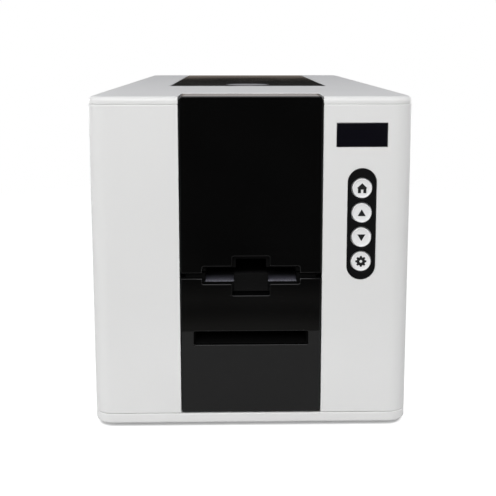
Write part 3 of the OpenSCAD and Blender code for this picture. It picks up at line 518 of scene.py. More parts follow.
bm = soft_copy("motor_pulley", 0.12)
paint(bm, 1, lambda f: middle(f).x < PULLEY_X and off_axis(f, *MOTOR_AT) > MOTOR_SHAFT_R + 0.3)
place_piece(bm, "stepper_shaft_and_pulley", "motor_pulley", bright_steel, black_acetal)
place_piece(soft_copy("drive_belts", 0.15), "neoprene_belts", "drive_belts", neoprene)

# ---- Card path ----
# Black ABS mouldings that hold and lead the cards: the hopper, its entry sill with a hollowed
# stop for their edges, the guide that tips before the platen and the chute to the outlet. A
# blue gate lets one card through at a time.

PATH_Z = 98
SILL_X = 28.8
STOP_X = 10.8
STOP_LOW = 87
STOP_Y = front + 5
# Where the sill's painted highlight runs, from bright at its front lip to none behind it.
LIT_SILL_Y = (front + 3, front + 12)
GUIDE_HW = 29.4

# Black ABS: satin, from a coarser spark-eroded tool than the white, so it sparkles a little.
dark_abs, tree, shader, place = new_finish("black_moulded_abs", "#141415", 0.5)
tool_grain(tree, shader, place, 0.5, 0.03, 0.38, 0.62)
colour_drift(tree, shader, place, 0.5, "#101011", "#1b1b1c")

# Black ABS of the inner guides: duller, and painted far blacker than the frame's black, a painted shade, so
# that they disappear in the openings.
guide_abs_painted_shade, tree, shader, place = new_finish("black_guide_abs", "#030303", 0.8, ior=1.15)
tool_grain(tree, shader, place, 0.6, 0.02, 0.7, 0.9)

# Black ABS of the stop: rubbed smooth by the cards' edges, so it keeps a soft sheen. Its colour is a darker
# black than the frame's, painted shade for the throat it stands in.
stop_abs, tree, shader, place = new_finish("rubbed_black_abs_painted_shade", "#080808", 0.5, ior=1.15)
tool_grain(tree, shader, place, 0.6, 0.01, 0.42, 0.58)

# Coarse-grained black ABS of the sill: bluish, with pale specks of its grain painted ever lighter
# towards its front lip, a painted highlight where light falls in through the notch.
sill_abs, tree, shader, place = new_finish("coarse_black_abs_painted_light", "#17171a", 0.5)
grain = tool_grain(tree, shader, place, 0.6, 0.05, 0.36, 0.6)
specks = add_node(tree, "ShaderNodeMapRange", {
    "Value": grain, "From Min": 0.35, "From Max": 0.65, "To Min": 0.45}).outputs[0]
depth = add_node(tree, "ShaderNodeSeparateXYZ", {0: place}).outputs["Y"]
lip = add_node(tree, "ShaderNodeMapRange", {
    "Value": depth, "From Min": LIT_SILL_Y[0] * MM, "From Max": LIT_SILL_Y[1] * MM,
    "To Min": 1.0, "To Max": 0.0}).outputs[0]
painted_light = add_node(tree, "ShaderNodeMath", {0: specks, 1: lip}, operation="MULTIPLY").outputs[0]
tree.links.new(colour_ramp(tree, painted_light, ((0.0, "#0a0a0b"), (0.5, "#3a3a42"), (1.0, "#8e8e98"))),
               shader.inputs["Base Color"])

# Blue acetal: the colour of parts that the user may touch.
blue_acetal, tree, shader, place = new_finish("blue_acetal", "#2f5fb4", 0.4, ior=1.48)
tool_grain(tree, shader, place, 0.8, 0.01, 0.34, 0.48)

place_piece(soft_copy("card_hopper", 0.3), "card_hopper_moulding", "card_hopper", guide_abs_painted_shade)
bm = soft_copy("card_throat", 0.4)
# Upward faces of the sill take its painted highlight. Its other faces take the guides' painted shade.
paint(bm, 1, lambda f: f.normal.z > 0.5 and abs(middle(f).x) < SILL_X and middle(f).z < PATH_Z)
paint(bm, 2, lambda f: abs(middle(f).x) < STOP_X and middle(f).y < STOP_Y and middle(f).z > STOP_LOW)
place_piece(bm, "hopper_sill", "card_throat", guide_abs_painted_shade, sill_abs, stop_abs)
place_piece(soft_copy("outlet_chute", 0.3), "outlet_chute_moulding", "outlet_chute", guide_abs_painted_shade)
place_piece(soft_copy("card_gate", 0.3), "card_gate_blade", "card_gate", blue_acetal)
bm = soft_copy("diverter_ramp", 0.2)
paint(bm, 1, lambda f: abs(middle(f).x) > GUIDE_HW + 0.1)
place_piece(bm, "tipping_guide", "diverter_ramp", dark_abs, bright_steel)

# ---- Ribbon ----
# A moulded cassette with the supply roll, the take-up roll and two guide bars. The dye film runs
# from roll to roll under the print line, in panels of yellow, magenta and cyan. A small motor
# turns the take-up roll through a pinion.

SUPPLY_AT = (75, 140)
TAKEUP_AT = (-32, 140)
PINION_AT = (-17.6, 120.8)
ROLL_HW = 29
CORE_R = 9
GEAR_X = 40.2
PINION_SHAFT_R = 1.2
CAN_END = 70.5
PANELS = ((0.0, "#d7b41c"), (0.36, "#a01f63"), (0.70, "#1f76ad"))
FILM_SPAN = (-43, 94)

# Grey polystyrene: glossy, with faint flow lines from the mould.
grey_polystyrene, tree, shader, place = new_finish("grey_polystyrene", "#a3a7ae", 0.28)
tool_grain(tree, shader, place, 9, 0.05, 0.22, 0.34)

# Dark polystyrene of the cores.
core_polystyrene, tree, shader, place = new_finish("dark_polystyrene", "#333338", 0.35)
tool_grain(tree, shader, place, 1.5, 0.02, 0.3, 0.42)

# Ivory acetal of the gears: waxy and slightly yellow.
ivory_acetal, tree, shader, place = new_finish("ivory_acetal", "#e0d8c2", 0.4, ior=1.48)
tool_grain(tree, shader, place, 0.8, 0.01, 0.34, 0.48)

# Plated motor can: drawn steel under nickel, with long draw lines.
plated_can, tree, shader, place = new_finish("nickel_plated_can", "#b5b4b0", 0.3, metallic=1.0)
fine_lines(tree, shader, place, (0.05, 1, 1), 0.6, 0.01, 0.22, 0.4)


def wound_film(name, colour, edge_colour, y, z):
    """Film wound on a core at y and z: smooth outside, the edges of its turns as rings on the ends."""
    finish, tree, shader, place = new_finish(name, colour, 0.2)
    centred = add_node(tree, "ShaderNodeMapping", {
        "Vector": place, "Location": (0, -y * MM, -z * MM), "Scale": (0, 1, 1)}).outputs[0]
    radius = add_node(tree, "ShaderNodeVectorMath", {0: centred}, operation="LENGTH").outputs["Value"]
    turns = add_node(tree, "ShaderNodeTexNoise", {
        "W": radius, "Scale": 1 / (0.4 * MM), "Detail": 1.0}, noise_dimensions="1D").outputs[0]
    shade = add_node(tree, "ShaderNodeMix", {
        0: turns, 6: linear(colour), 7: linear(edge_colour)}, data_type="RGBA").outputs[2]
    roughness = add_node(tree, "ShaderNodeMapRange", {
        "Value": turns, "To Min": 0.14, "To Max": 0.32}).outputs[0]
    tree.links.new(shade, shader.inputs["Base Color"])
    tree.links.new(roughness, shader.inputs["Roughness"])
    return finish


fresh_roll = wound_film("wound_fresh_film", "#4a2a5e", "#8a5a86", *SUPPLY_AT)
used_roll = wound_film("wound_used_film", "#3a3550", "#6d5f80", *TAKEUP_AT)

# Dye film: thin glossy polyester with its dyes in panels. A panel is one card long, 90 mm.
dye_film, tree, shader, place = new_finish("dye_film", "#a01f63", 0.16)
way = add_node(tree, "ShaderNodeSeparateXYZ", {0: place}).outputs["Y"]
way = add_node(tree, "ShaderNodeMapRange", {
    "Value": way, "From Min": FILM_SPAN[0] * MM, "From Max": FILM_SPAN[1] * MM}).outputs[0]
tree.links.new(colour_ramp(tree, way, PANELS, "CONSTANT"), shader.inputs["Base Color"])
ripple = add_node(tree, "ShaderNodeTexNoise", {"Vector": place, "Scale": 1 / (12 * MM)}).outputs[0]
bump = add_node(tree, "ShaderNodeBump", {"Height": ripple, "Distance": 0.2 * MM}).outputs[0]
tree.links.new(bump, shader.inputs["Normal"])

place_piece(soft_copy("ribbon_cassette", 0.3), "cassette_moulding", "ribbon_cassette", grey_polystyrene)
place_piece(mesh_of("ribbon_film"), "dye_film_web", "ribbon_film", dye_film)
for node, at, roll in (("supply_spool", SUPPLY_AT, fresh_roll), ("takeup_spool", TAKEUP_AT, used_roll)):
    bm = soft_copy(node, 0.12)
    paint(bm, 1, lambda f: abs(middle(f).x) < ROLL_HW + 0.1 and off_axis(f, *at) > CORE_R + 0.1)
    paint(bm, 2, lambda f: middle(f).x > GEAR_X and off_axis(f, *at) > CORE_R)
    place_piece(bm, node + "_roll", node, core_polystyrene, roll, ivory_acetal)

bm = soft_copy("ribbon_pinion", 0.1)
paint(bm, 1, lambda f: off_axis(f, *PINION_AT) < PINION_SHAFT_R + 0.1)
place_piece(bm, "pinion_gear", "ribbon_pinion", ivory_acetal, bright_steel)
bm = soft_copy("ribbon_motor", 0.8, 3)
paint(bm, 1, lambda f: middle(f).x > CAN_END)
place_piece(bm, "takeup_motor", "ribbon_motor", plated_can, black_acetal)

# ---- Main board and sockets ----
# A circuit board on four steel standoffs on the tray's floor, with a processor, a driver chip and
# four capacitors. Its power, USB and network sockets reach through the rear cover.

SOCKET_Z = 24
BOARD_TOP = SOCKET_Z - 0.1
BOARD_T = 1.6
CANS_Y = 136.5
JACK_X, USB_X, NET_X = -64, -36, -8
JACK_END = JACK_X + 8
TONGUE_HW, TONGUE_LOW, TONGUE_HIGH = 2.9, SOCKET_Z + 3.9, SOCKET_Z + 7.3
CONTACTS = 8
CONTACT_PITCH = 1.02
CONTACT_W = 0.44
CONTACT_Y = (rear - 14.9, rear - 4)
CONTACT_Z = (SOCKET_Z + 10.2, SOCKET_Z + 10.5)
PIN_OUTLINE = ((0, 0), (0.95, 0), (0.95, 9.6), (0.6, 10.2), (0, 10.2))
PIN_Y = rear - 11.9

# Solder mask over copper: glossy green, lighter where tracks run under it.
solder_mask, tree, shader, place = new_finish("green_solder_mask", "#1c4f33", 0.3)
tracks = add_node(tree, "ShaderNodeTexVoronoi", {
    "Vector": place, "Scale": 1 / (2.5 * MM)}, distance="CHEBYCHEV").outputs["Distance"]
edges = add_node(tree, "ShaderNodeMath", {0: tracks, 1: 0.42}, operation="GREATER_THAN").outputs[0]
shade = add_node(tree, "ShaderNodeMix", {
    0: edges, 6: linear("#1a4a30"), 7: linear("#2c6a45")}, data_type="RGBA").outputs[2]
tree.links.new(shade, shader.inputs["Base Color"])

# Moulded epoxy of the chips: matt black.
epoxy, tree, shader, place = new_finish("black_moulded_epoxy", "#1a1a1b", 0.6)
tool_grain(tree, shader, place, 0.4, 0.01, 0.52, 0.7)

# Capacitor cans: drawn aluminium under a thin dark blue sleeve.
sleeve, tree, shader, place = new_finish("capacitor_sleeve", "#20263a", 0.3)
tool_grain(tree, shader, place, 2, 0.02, 0.24, 0.36)

# Tinned sheet of the socket shells: bright, slightly cloudy.
tinned_sheet, tree, shader, place = new_finish("tinned_sheet", "#bcbdbd", 0.28, metallic=1.0)
tool_grain(tree, shader, place, 3, 0.01, 0.2, 0.38)

# Gold plating of the contacts.
gold_plate, tree, shader, place = new_finish("gold_plated_contact", "#d0a548", 0.25, metallic=1.0)
tool_grain(tree, shader, place, 1, 0.005, 0.2, 0.32)


def block(bm, low, high):
    """Adds a block between two corners in millimetres."""
    made = bmesh.ops.create_cube(bm, size=1)["verts"]
    low, high = Vector(low) * MM, Vector(high) * MM
    bmesh.ops.scale(bm, verts=made, vec=high - low)
    bmesh.ops.translate(bm, verts=made, vec=(low + high) / 2)


# The cans stand before CANS_Y and the chips behind it.
bm = soft_copy("main_board", 0.15, 1)
paint(bm, 1, lambda f: middle(f).z > BOARD_TOP + 0.1)
paint(bm, 2, lambda f: middle(f).z > BOARD_TOP + 0.1 and middle(f).y < CANS_Y)
paint(bm, 3, lambda f: middle(f).z < BOARD_TOP - BOARD_T - 0.2)
place_piece(bm, "main_circuit_board", "main_board", solder_mask, epoxy, sleeve, bright_steel)

bm = soft_copy("rear_sockets", 0.2)
paint(bm, 1, lambda f: middle(f).x < JACK_END)
paint(bm, 2, lambda f: abs(middle(f).x - USB_X) < TONGUE_HW and TONGUE_LOW < middle(f).z < TONGUE_HIGH)
place_piece(bm, "socket_shells", "rear_sockets", tinned_sheet, black_acetal, ivory_acetal)

bm = bmesh.new()
for k in range(CONTACTS):
    x = NET_X + (k - (CONTACTS - 1) / 2) * CONTACT_PITCH
    block(bm, (x - CONTACT_W / 2, CONTACT_Y[0], CONTACT_Z[0]),
          (x + CONTACT_W / 2, CONTACT_Y[1], CONTACT_Z[1]))
turned(bm, PIN_OUTLINE, Matrix.Translation(Vector((JACK_X, PIN_Y, SOCKET_Z + 6)) * MM)
       @ Matrix.Rotation(-math.pi / 2, 4, "X"))
place_piece(bm, "socket_contacts", "rear_sockets", gold_plate, stands_in=False)

# ---- Fan ----
# A 40 mm fan behind the rear slots: a black frame with three bars across it, and an impeller with
# seven pitched blades round its hub. Both are moulded in acetal.

place_piece(soft_copy("fan_frame", 0.3), "fan_housing", "fan_frame", black_acetal)
place_piece(soft_copy("fan_impeller", 0.2), "fan_blades_and_hub", "fan_impeller", black_acetal)

# ---- Power switch ----
# A rocker switch snapped into the rear cover. Its glossy rocker carries the usual line and ring in
# white ink, and tips about a pin behind its middle.

SWITCH_AT = (62, 34)
SIGN_X = 3.3
RING_Y, RING_SLOPE = rear - 2.9, (1, 6.6, 0)
BAR_Y, BAR_SLOPE = rear - 1.4, (2, 6.6, 0)
RING = (1.7, 1.2)
BAR = ((0.3, 1.7), (-0.3, 1.7), (-0.3, -1.7), (0.3, -1.7))
INK = 0.12

# Polished black nylon of the rocker.
rocker_nylon, tree, shader, place = new_finish("black_rocker_nylon", "#101011", 0.25, ior=1.52)
tool_grain(tree, shader, place, 1.5, 0.01, 0.2, 0.32)

# White printing ink.
white_ink, tree, shader, place = new_finish("white_printing_ink", "#e2e2e0", 0.5)
tool_grain(tree, shader, place, 0.3, 0.01, 0.42, 0.6)


def facing(at, out):
    """A place at a point in millimetres whose Z axis points out and whose Y axis points up."""
    return Matrix.Translation(Vector(at) * MM) @ Vector(out).to_track_quat("Z", "Y").to_matrix().to_4x4()


def thicken(bm, faces, out):
    """Extrudes flat faces by a vector in millimetres."""
    made = bmesh.ops.extrude_face_region(bm, geom=faces)["geom"]
    bmesh.ops.translate(bm, vec=out * MM, verts=[g for g in made if isinstance(g, bmesh.types.BMVert)])
    bmesh.ops.recalc_face_normals(bm, faces=bm.faces)


def loop_of(bm, points, place):
    """A closed loop of edges through flat points, in millimetres, on place."""
    verts = [bm.verts.new(place @ Vector((x * MM, y * MM, 0))) for x, y in points]
    return verts, [bm.edges.new(pair) for pair in zip(verts, verts[1:] + verts[:1])]


def sign(bm, place, outline, hole=None):
    """A printed sign: a flat outline, with a hole of as many points if one is given."""
    old = set(bm.faces)
    verts, edges = loop_of(bm, outline, place)
    if hole:
        bmesh.ops.bridge_loops(bm, edges=edges + loop_of(bm, hole, place)[1])
    else:
        bm.faces.new(verts)
    thicken(bm, [f for f in bm.faces if f not in old], place.to_3x3() @ Vector((0, 0, INK)))


def circle(r, steps=32):
    """Points of a circle."""
    turns = [2 * math.pi * k / steps for k in range(steps)]
    return [(r * math.cos(turn), r * math.sin(turn)) for turn in turns]


place_piece(soft_copy("switch_housing", 0.4), "switch_bezel", "switch_housing", dark_abs)
place_piece(soft_copy("switch_rocker", 0.35), "switch_rocker_cap", "switch_rocker", rocker_nylon)
bm = bmesh.new()
sign(bm, facing((SWITCH_AT[0] + SIGN_X, RING_Y, SWITCH_AT[1]), RING_SLOPE), *map(circle, RING))
sign(bm, facing((SWITCH_AT[0] - SIGN_X, BAR_Y, SWITCH_AT[1]), BAR_SLOPE), BAR)
place_piece(bm, "switch_signs", "switch_rocker", white_ink, stands_in=False)

# ---- Front frame and ribbon bay ----
# A black upright on each side of the black strip, joined by a foot plate and two crossbars, and
# the tub under the ribbon lid. Both are textured ABS, black and dark grey, that hides the works.

# Dark grey ABS of the tub: grained, a little lighter than the frame.
bay_abs, tree, shader, place = new_finish("dark_grey_abs", "#2b2b2d", 0.55)
tool_grain(tree, shader, place, 0.8, 0.05, 0.45, 0.68)
colour_drift(tree, shader, place, 0.8, "#252527", "#323235")

place_piece(soft_copy("front_frame", 0.25), "front_frame_moulding", "front_frame", dark_abs)
place_piece(soft_copy("bay_liner", 0.5), "ribbon_bay_tub", "bay_liner", bay_abs)

# ---- White covers ----
# Left and right covers, each a front face and a side in one moulding, a rear cover with its vents
# and socket openings, and a top cover with a round along its rim. All are white moulded ABS.

TOP_ROUND = 3
SKIRT_H = 4.7
SEAM = 0.4
SHARP_BREAK = 0.12
LIT_BREAK = 0.55
STRIP_GAP = 45
LID_GAP = 61.5

# The edge under the upper seam is rounder than the one over it and takes the light.
skirt_low = top - SKIRT_H
cover_high = skirt_low - SEAM
for node in ("left_cover", "right_cover", "rear_cover"):
    bm = mesh_of(node)
    soften(bm, LIT_BREAK, 3, lambda e: lies_at(e, Z, cover_high) and outer_rim(e))
    soften(bm, EDGE_BREAK, 2, lambda e: middle(e).z < cover_high - 1)
    place_piece(bm, node + "_moulding", node, white_abs)

bm = mesh_of("top_cover")
soften(bm, TOP_ROUND, 7, lambda e: lies_at(e, Z, top) and outer_rim(e))
soften(bm, EDGE_BREAK, 2, lambda e: lies_at(e, Z, top))
soften(bm, SHARP_BREAK, 2, lambda e: lies_at(e, Z, skirt_low))
place_piece(bm, "top_cover_moulding", "top_cover", white_abs)

# A tongue on the lower covers stands behind the seam. It is left out at the strip and at the lid.
TONGUE_INSET = 0.75
TONGUE_T = 1.0
TONGUE_R = CORNER_R - TONGUE_INSET
TONGUE_Z = (skirt_low - 0.8, skirt_low + 0.5)
bm = bmesh.new()
block(bm, (TONGUE_INSET - half_w, TONGUE_INSET - half_d, TONGUE_Z[0]),
      (half_w - TONGUE_INSET, half_d - TONGUE_INSET, TONGUE_Z[1]))
soften(bm, TONGUE_R, 8, lambda e: abs(e.verts[0].co.z - e.verts[1].co.z) > 1 * MM)
bmesh.ops.delete(bm, geom=[f for f in bm.faces if abs(f.normal.z) > 0.9], context="FACES_ONLY")
for x in (STRIP_GAP, LID_GAP):
    for side in (-1, 1):
        split_at(bm, side * x)
gaps = [f for f in bm.faces if abs(middle(f).x) < (STRIP_GAP if middle(f).y < 0 else LID_GAP)]
bmesh.ops.delete(bm, geom=gaps, context="FACES")
bmesh.ops.solidify(bm, geom=bm.faces[:], thickness=TONGUE_T * MM)
bmesh.ops.recalc_face_normals(bm, faces=bm.faces)
place_piece(bm, "seam_tongue", "top_cover", white_abs, stands_in=False)

# ---- Screws ----
# Ten zinc-plated pan-head screws with a cross recess: four through the rear cover, six up through
# the tray.

SCREW_R = 1.6
HEAD_R = 3
SCREW_LEN = 20
REAR_HEAD, BASE_HEAD = 1.1, 1.7
REAR_SEAT = 1.2
RECESS = (0.75, 3.4, 0.85)
REAR_SCREWS = [(x, z) for x in (-84, 84) for z in (24, 186)]
BASE_SCREWS = [(x, y) for x in (-88, 88) for y in (-166, 0, 150)]

# Zinc-plated screw: bright with a faint yellow cast.
zinc_screw, tree, shader, place = new_finish("zinc_plated_screw", "#b8b6ae", 0.32, metallic=1.0)
tool_grain(tree, shader, place, 0.5, 0.01, 0.24, 0.42)


def carved(body, cutter):
    """A mesh of body with cutter taken out. The cutter's parts may overlap, hence use_self."""
    objects = []
    for bm in (body, cutter):
        data = bpy.data.meshes.new("carving")
        bm.to_mesh(data)
        bm.free()
        objects.append(bpy.data.objects.new("carving", data))
        bpy.context.scene.collection.objects.link(objects[-1])
    cut = objects[0].modifiers.new("cut", "BOOLEAN")
    cut.operation = "DIFFERENCE"
    cut.solver = "EXACT"
    cut.use_self = True
    cut.object = objects[1]
    depsgraph = bpy.context.evaluated_depsgraph_get()
    result = bpy.data.meshes.new_from_object(objects[0].evaluated_get(depsgraph))
    for holder in objects:
        bpy.data.objects.remove(holder)
    return result


def screw(head):
    """A screw with a head of the given height, standing on its seat with its head up."""
    body, cutter = bmesh.new(), bmesh.new()
    turned(body, ((0, -SCREW_LEN), (SCREW_R - 0.8, -SCREW_LEN), (SCREW_R, -SCREW_LEN + 2), (SCREW_R, 0),
                  (HEAD_R - 0.1, 0), (HEAD_R, 0.15), (HEAD_R, head - 0.7), (HEAD_R - 0.2, head - 0.4),
                  (HEAD_R - 0.6, head - 0.16), (HEAD_R - 1.2, head - 0.04), (0, head)),
           Matrix.Identity(4), 32)
    width, length, depth = RECESS
    block(cutter, (-length / 2, -width / 2, head - depth), (length / 2, width / 2, head + 1))
    block(cutter, (-width / 2, -length / 2, head - depth), (width / 2, length / 2, head + 1))
    return carved(body, cutter)


def stamp(bm, data, place):
    """Adds a copy of a mesh at a place."""
    old = len(bm.verts)
    bm.from_mesh(data)
    bm.verts.ensure_lookup_table()
    bmesh.ops.transform(bm, matrix=place, verts=bm.verts[old:])


bm = bmesh.new()
rear_screw, base_screw = screw(REAR_HEAD), screw(BASE_HEAD)
for x, z in REAR_SCREWS:
    stamp(bm, rear_screw, facing((x, rear - REAR_SEAT, z), (0, 1, 0)))
for x, y in BASE_SCREWS:
    stamp(bm, base_screw, facing((x, y, foot_h), (0, 0, -1)))
place_piece(bm, "pan_head_screws", "case_screws", zinc_screw)

# ---- Display and front board ----
# A tinted window of polished polycarbonate let into the front face over the display's glass, and
# the board behind the front that carries the glass and the four tactile switches.

BOARD_Y = front + 9
WINDOW_Y = front + 0.3
WINDOW_BREAK = 0.35

# Tinted polycarbonate: deep blue-black, clear gloss.
window_black, tree, shader, place = new_finish("tinted_polycarbonate", "#0c0c12", 0.05, ior=1.45)
smears = add_node(tree, "ShaderNodeTexNoise", {
    "Vector": place, "Scale": 1 / (9 * MM), "Detail": 4.0}).outputs[0]
roughness = add_node(tree, "ShaderNodeMapRange", {
    "Value": smears, "To Min": 0.03, "To Max": 0.09}).outputs[0]
tree.links.new(roughness, shader.inputs["Roughness"])

bm = mesh_of("display_window")
soften(bm, WINDOW_BREAK, 3, lambda e: lies_at(e, Y, WINDOW_Y))
place_piece(bm, "display_glass", "display_window", window_black)

bm = soft_copy("front_board", 0.15, 1)
paint(bm, 1, lambda f: middle(f).y < BOARD_Y - 0.1)
place_piece(bm, "key_and_display_board", "front_board", solder_mask, epoxy)

# ---- Keys ----
# Four round caps on a pill-shaped black plate: light ABS with a raised bright rim round a shallow
# dish, and a printed sign in each dish. A flange behind the plate keeps each cap in.

KEY_R = 6.05
FLANGE_R = 7.2
DISH_R = 5.1
DISH_DEPTH = 0.4
CAP_DEPTH = 3.8
PLATE_Y = front + 0.5
PLATE_BREAK = 0.5
CAP_OUTLINE = ((0, -DISH_DEPTH), (DISH_R - 0.5, -DISH_DEPTH), (DISH_R - 0.1, -DISH_DEPTH + 0.1),
               (DISH_R + 0.2, -0.08), (DISH_R + 0.4, 0), (KEY_R - 0.2, 0), (KEY_R - 0.06, -0.06),
               (KEY_R, -0.2), (KEY_R, -CAP_DEPTH), (FLANGE_R, -CAP_DEPTH),
               (FLANGE_R, -CAP_DEPTH - 0.8), (1.6, -CAP_DEPTH - 0.8), (1.6, -5.7), (0, -5.7))
HOUSE = ((0, 3.15), (3.1, 0.25), (2.6, -0.2), (2.6, -3.0), (0.75, -3.0), (0.75, -0.8),
         (-0.75, -0.8), (-0.75, -3.0), (-2.6, -3.0), (-2.6, -0.2), (-3.1, 0.25))
UP = ((0, 2.15), (2.5, -2.05), (-2.5, -2.05))
DOWN = ((0, -2.45), (-2.5, 1.75), (2.5, 1.75))
GEAR_TEETH = 8
GEAR_TIP, GEAR_ROOT, GEAR_HOLE = 3.5, 2.7, 0.9

# Light ABS of the caps: satin, a touch brighter than the case.
key_abs, tree, shader, place = new_finish("light_moulded_abs", "#e4e4e4", 0.42)
tool_grain(tree, shader, place, 0.4, 0.01, 0.36, 0.48)

# Printed sign: matt black pad-printing ink, laid on thickly.
black_ink, tree, shader, place = new_finish("black_printing_ink", "#040405", 0.7, ior=1.35)
tool_grain(tree, shader, place, 0.3, 0.01, 0.6, 0.8)

gear_rim, gear_hole = [], []
for k in range(GEAR_TEETH):
    for offset, radius in ((-16, GEAR_ROOT), (-9, GEAR_TIP), (9, GEAR_TIP), (16, GEAR_ROOT)):
        angle = math.radians(90 + k * 360 / GEAR_TEETH + offset)
        gear_rim.append((radius * math.cos(angle), radius * math.sin(angle)))
        gear_hole.append((GEAR_HOLE * math.cos(angle), GEAR_HOLE * math.sin(angle)))

for name, outline, hole in (("home", HOUSE, None), ("up", UP, None), ("down", DOWN, None),
                            ("settings", gear_rim, gear_hole)):
    low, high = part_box("button_" + name)
    x, z = (low.x + high.x) / 2 / MM, (low.z + high.z) / 2 / MM
    bm = bmesh.new()
    turned(bm, CAP_OUTLINE, facing((x, front, z), (0, -1, 0)))
    place_piece(bm, "key_cap_" + name, "button_" + name, key_abs)
    bm = bmesh.new()
    sign(bm, facing((x, front + DISH_DEPTH, z), (0, -1, 0)), outline, hole)
    place_piece(bm, "key_sign_" + name, "button_" + name, black_ink, stands_in=False)

# Satin black ABS of the key plate: smoother than the frame's, so it greys a little towards the top.
plate_abs, tree, shader, place = new_finish("satin_black_abs", "#0a0a0b", 0.34, ior=1.18)
tool_grain(tree, shader, place, 0.6, 0.008, 0.28, 0.4)

bm = mesh_of("button_plate")
soften(bm, PLATE_BREAK, 3, lambda e: lies_at(e, Y, PLATE_Y))
place_piece(bm, "key_plate", "button_plate", plate_abs)

# ---- Lower fascia ----
# Polished black panel with the card outlet: ABS moulded in a mirror-polished tool, snapped into
# the front frame. A narrow bright round runs along every edge of its face.

PANEL_ROUND = 0.6
NOTCH_X = 31
FASCIA_NOTCH_Z = (80, 97)
FASCIA_CORNER = 0.8
PANEL_BACK = front + 2.5

# Polished black ABS: nearly a mirror, with the faint waviness of moulding and a trace of handling.
gloss_black, tree, shader, place = new_finish("polished_black_abs", "#060606", 0.03, ior=1.3)
waves = add_node(tree, "ShaderNodeTexNoise", {
    "Vector": place, "Scale": 1 / (14 * MM), "Detail": 1.0}).outputs[0]
smears = add_node(tree, "ShaderNodeTexNoise", {
    "Vector": place, "Scale": 1 / (22 * MM), "Detail": 4.0, "Roughness": 0.65}).outputs[0]
roughness = add_node(tree, "ShaderNodeMapRange", {
    "Value": smears, "From Min": 0.4, "From Max": 0.75, "To Min": 0.02, "To Max": 0.04}).outputs[0]
bump = add_node(tree, "ShaderNodeBump", {
    "Height": waves, "Distance": 0.003 * MM, "Strength": 0.5}).outputs[0]
tree.links.new(roughness, shader.inputs["Roughness"])
tree.links.new(bump, shader.inputs["Normal"])
colour_drift(tree, shader, place, 40, "#050505", "#0a0a0a")


def runs_back(edge, x, z):
    """True if an edge of a panel runs from front to back within x and z, both given as (low, high)."""
    at = middle(edge)
    across = abs(edge.verts[0].co.y - edge.verts[1].co.y) / MM
    return across > 1 and at.y < PANEL_BACK and x[0] < abs(at.x) < x[1] and z[0] < at.z < z[1]


bm = mesh_of("lower_fascia")
soften(bm, FASCIA_CORNER, 3, lambda e: runs_back(e, (0, NOTCH_X), FASCIA_NOTCH_Z))
soften(bm, PANEL_ROUND, 4, lambda e: lies_at(e, Y, front))
paint(bm, 1, lambda f: middle(f).y > PANEL_BACK - 0.3)
place_piece(bm, "lower_fascia_panel", "lower_fascia", gloss_black, dark_abs)

# ---- Hopper door ----
# The upper black panel, which wraps over on to the top and swings up on two steel pins. Polished
# outside; its inner side is textured and backed by a liner with stiffening ribs.

DOOR_CORNER = 2.4
DOOR_NOTCH_CORNER = 1.2
DOOR_NOTCH_Z = (102, 112)
UPRIGHT_RIBS = (-38, -13, 13, 38)
LEVEL_RIBS = (122, 146, 170, 194)
RIB_W = 1.2
RIB_X = 39
RIB_Y = (front + 4.0, front + 5.0)
RIB_Z = (116, 196)

door_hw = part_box("hopper_door")[1].x / MM
bm = mesh_of("hopper_door")
soften(bm, DOOR_CORNER, 6, lambda e: abs(abs(middle(e).x) - door_hw) < 0.05 and lies_at(e, Z, top)
       and abs(e.verts[0].co.y - e.verts[1].co.y) > 1 * MM)
soften(bm, DOOR_NOTCH_CORNER, 4, lambda e: runs_back(e, (0, NOTCH_X), DOOR_NOTCH_Z))
soften(bm, PANEL_ROUND, 4, lambda e: lies_at(e, Y, front))
paint(bm, 1, lambda f: middle(f).y > PANEL_BACK - 0.3 and middle(f).z < top - 0.3)
place_piece(bm, "hopper_door_panel", "hopper_door", gloss_black, dark_abs)

bm = soft_copy("door_liner", 0.3)
for x in UPRIGHT_RIBS:
    block(bm, (x - RIB_W / 2, RIB_Y[0], RIB_Z[0]), (x + RIB_W / 2, RIB_Y[1], RIB_Z[1]))
for z in LEVEL_RIBS:
    block(bm, (-RIB_X, RIB_Y[0], z - RIB_W / 2), (RIB_X, RIB_Y[1] - 0.1, z + RIB_W / 2))
place_piece(bm, "door_inner_liner", "door_liner", guide_abs_painted_shade)
place_piece(soft_copy("door_hinge_pins", 0.25), "door_pins", "door_hinge_pins", bright_steel)

# ---- Ribbon lid ----
# The black lid over the ribbon: polished above, ribbed below, and hinged along the rear edge on
# two pins held by plated brackets. It carries the release button, the latch and the print head.

LID_ROUND = 0.7
LID_BREAK = 0.25
LID_T = 3
LID_RIBS = (70, 92, 114, 136, 158)
LID_RIB_X, LID_RIB_W, LID_RIB_H = 54, 1.6, 3
lid_low = top - LID_T

bm = mesh_of("lid")
soften(bm, LID_ROUND, 3, lambda e: lies_at(e, Z, top))
soften(bm, LID_BREAK, 2, lambda e: middle(e).z < lid_low + 0.2)
paint(bm, 1, lambda f: middle(f).z < top - LID_T / 2)
for y in LID_RIBS:
    block(bm, (-LID_RIB_X, y - LID_RIB_W / 2, lid_low - LID_RIB_H),
          (LID_RIB_X, y + LID_RIB_W / 2, lid_low + 0.1))
# The ribs' faces come last, six for each rib.
for face in bm.faces[-6 * len(LID_RIBS):]:
    face.material_index = 1
place_piece(bm, "ribbon_lid", "lid", gloss_black, dark_abs)
place_piece(soft_copy("lid_hinge_pins", 0.25), "lid_pins", "lid_hinge_pins", bright_steel)
place_piece(soft_copy("lid_brackets", SHEET_EDGE, 1), "hinge_brackets", "lid_brackets", zinc_sheet)

# ---- Release button and latch ----
# A round silver button let into the lid. Its plunger pushes on a black hook under the lid, which
# turns on a steel pin and lets go of the bay's rim.

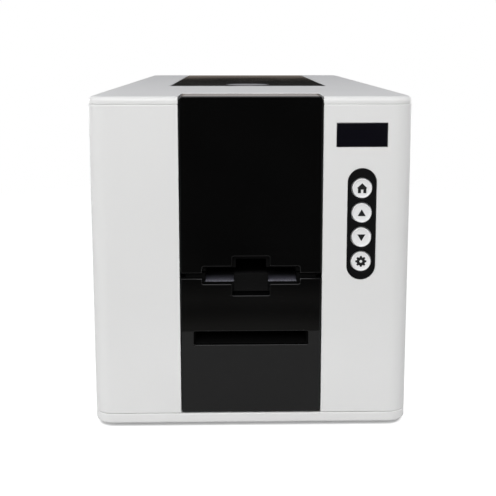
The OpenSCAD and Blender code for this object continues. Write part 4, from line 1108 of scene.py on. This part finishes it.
BUTTON_AT = (0, -32)
BUTTON_TOP = top - 0.2
BUTTON_R = 16.3
BUTTON_OUTLINE = ((0, -0.55), (4, -0.52), (8, -0.42), (11, -0.28), (13.6, -0.06), (14.2, 0), (15.3, 0),
                  (15.9, -0.1), (16.2, -0.35), (BUTTON_R, -0.7), (BUTTON_R, -2.6), (1.5, -2.6),
                  (1.5, -8.8), (1.2, -9.1), (0, -9.1))

# Silver paint over ABS: satin, with fine metal flakes.
silver_paint, tree, shader, place = new_finish("silver_painted_abs", "#757473", 0.38, metallic=0.6)
tool_grain(tree, shader, place, 0.5, 0.01, 0.32, 0.46)
colour_drift(tree, shader, place, 0.5, "#727170", "#848382")

bm = bmesh.new()
turned(bm, BUTTON_OUTLINE, Matrix.Translation(Vector((*BUTTON_AT, BUTTON_TOP)) * MM), 96)
place_piece(bm, "release_button", "lid_button", silver_paint)
place_piece(soft_copy("lid_latch", 0.3), "latch_hook", "lid_latch", dark_abs)
place_piece(soft_copy("latch_pin", 0.2), "latch_hinge_pin", "latch_pin", bright_steel)

# ---- Print head ----
# Hangs from the lid on a bent zinc-plated bracket and rocks on a steel pin. Its heat sink is an
# aluminium extrusion with fins, and the ceramic print line along its underside is glazed.

CERAMIC_TOP = 104
GLAZE_Z = 99.9

# Extruded aluminium: pale, with fine die lines along it.
extruded_aluminium, tree, shader, place = new_finish("extruded_aluminium", "#c3c5c8", 0.36, metallic=1.0)
fine_lines(tree, shader, place, (0.02, 1, 1), 0.4, 0.01, 0.28, 0.46)

# Alumina: the off-white ceramic of the print line's carrier.
alumina, tree, shader, place = new_finish("alumina_ceramic", "#d9d5cb", 0.4, ior=1.76)
tool_grain(tree, shader, place, 0.6, 0.005, 0.34, 0.48)

# Glaze over the heaters: dark brown glass.
dark_glaze, tree, shader, place = new_finish("print_line_glaze", "#2a1f1a", 0.12)
tool_grain(tree, shader, place, 4, 0.005, 0.08, 0.18)

place_piece(soft_copy("head_arm", SHEET_EDGE, 1), "head_bracket", "head_arm", zinc_sheet)
place_piece(soft_copy("head_pin", 0.2), "head_hinge_pin", "head_pin", bright_steel)
bm = soft_copy("printhead", 0.2)
paint(bm, 1, lambda f: middle(f).z < CERAMIC_TOP)
paint(bm, 2, lambda f: middle(f).z < GLAZE_Z)
place_piece(bm, "print_head", "printhead", extruded_aluminium, alumina, dark_glaze)

low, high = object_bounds()
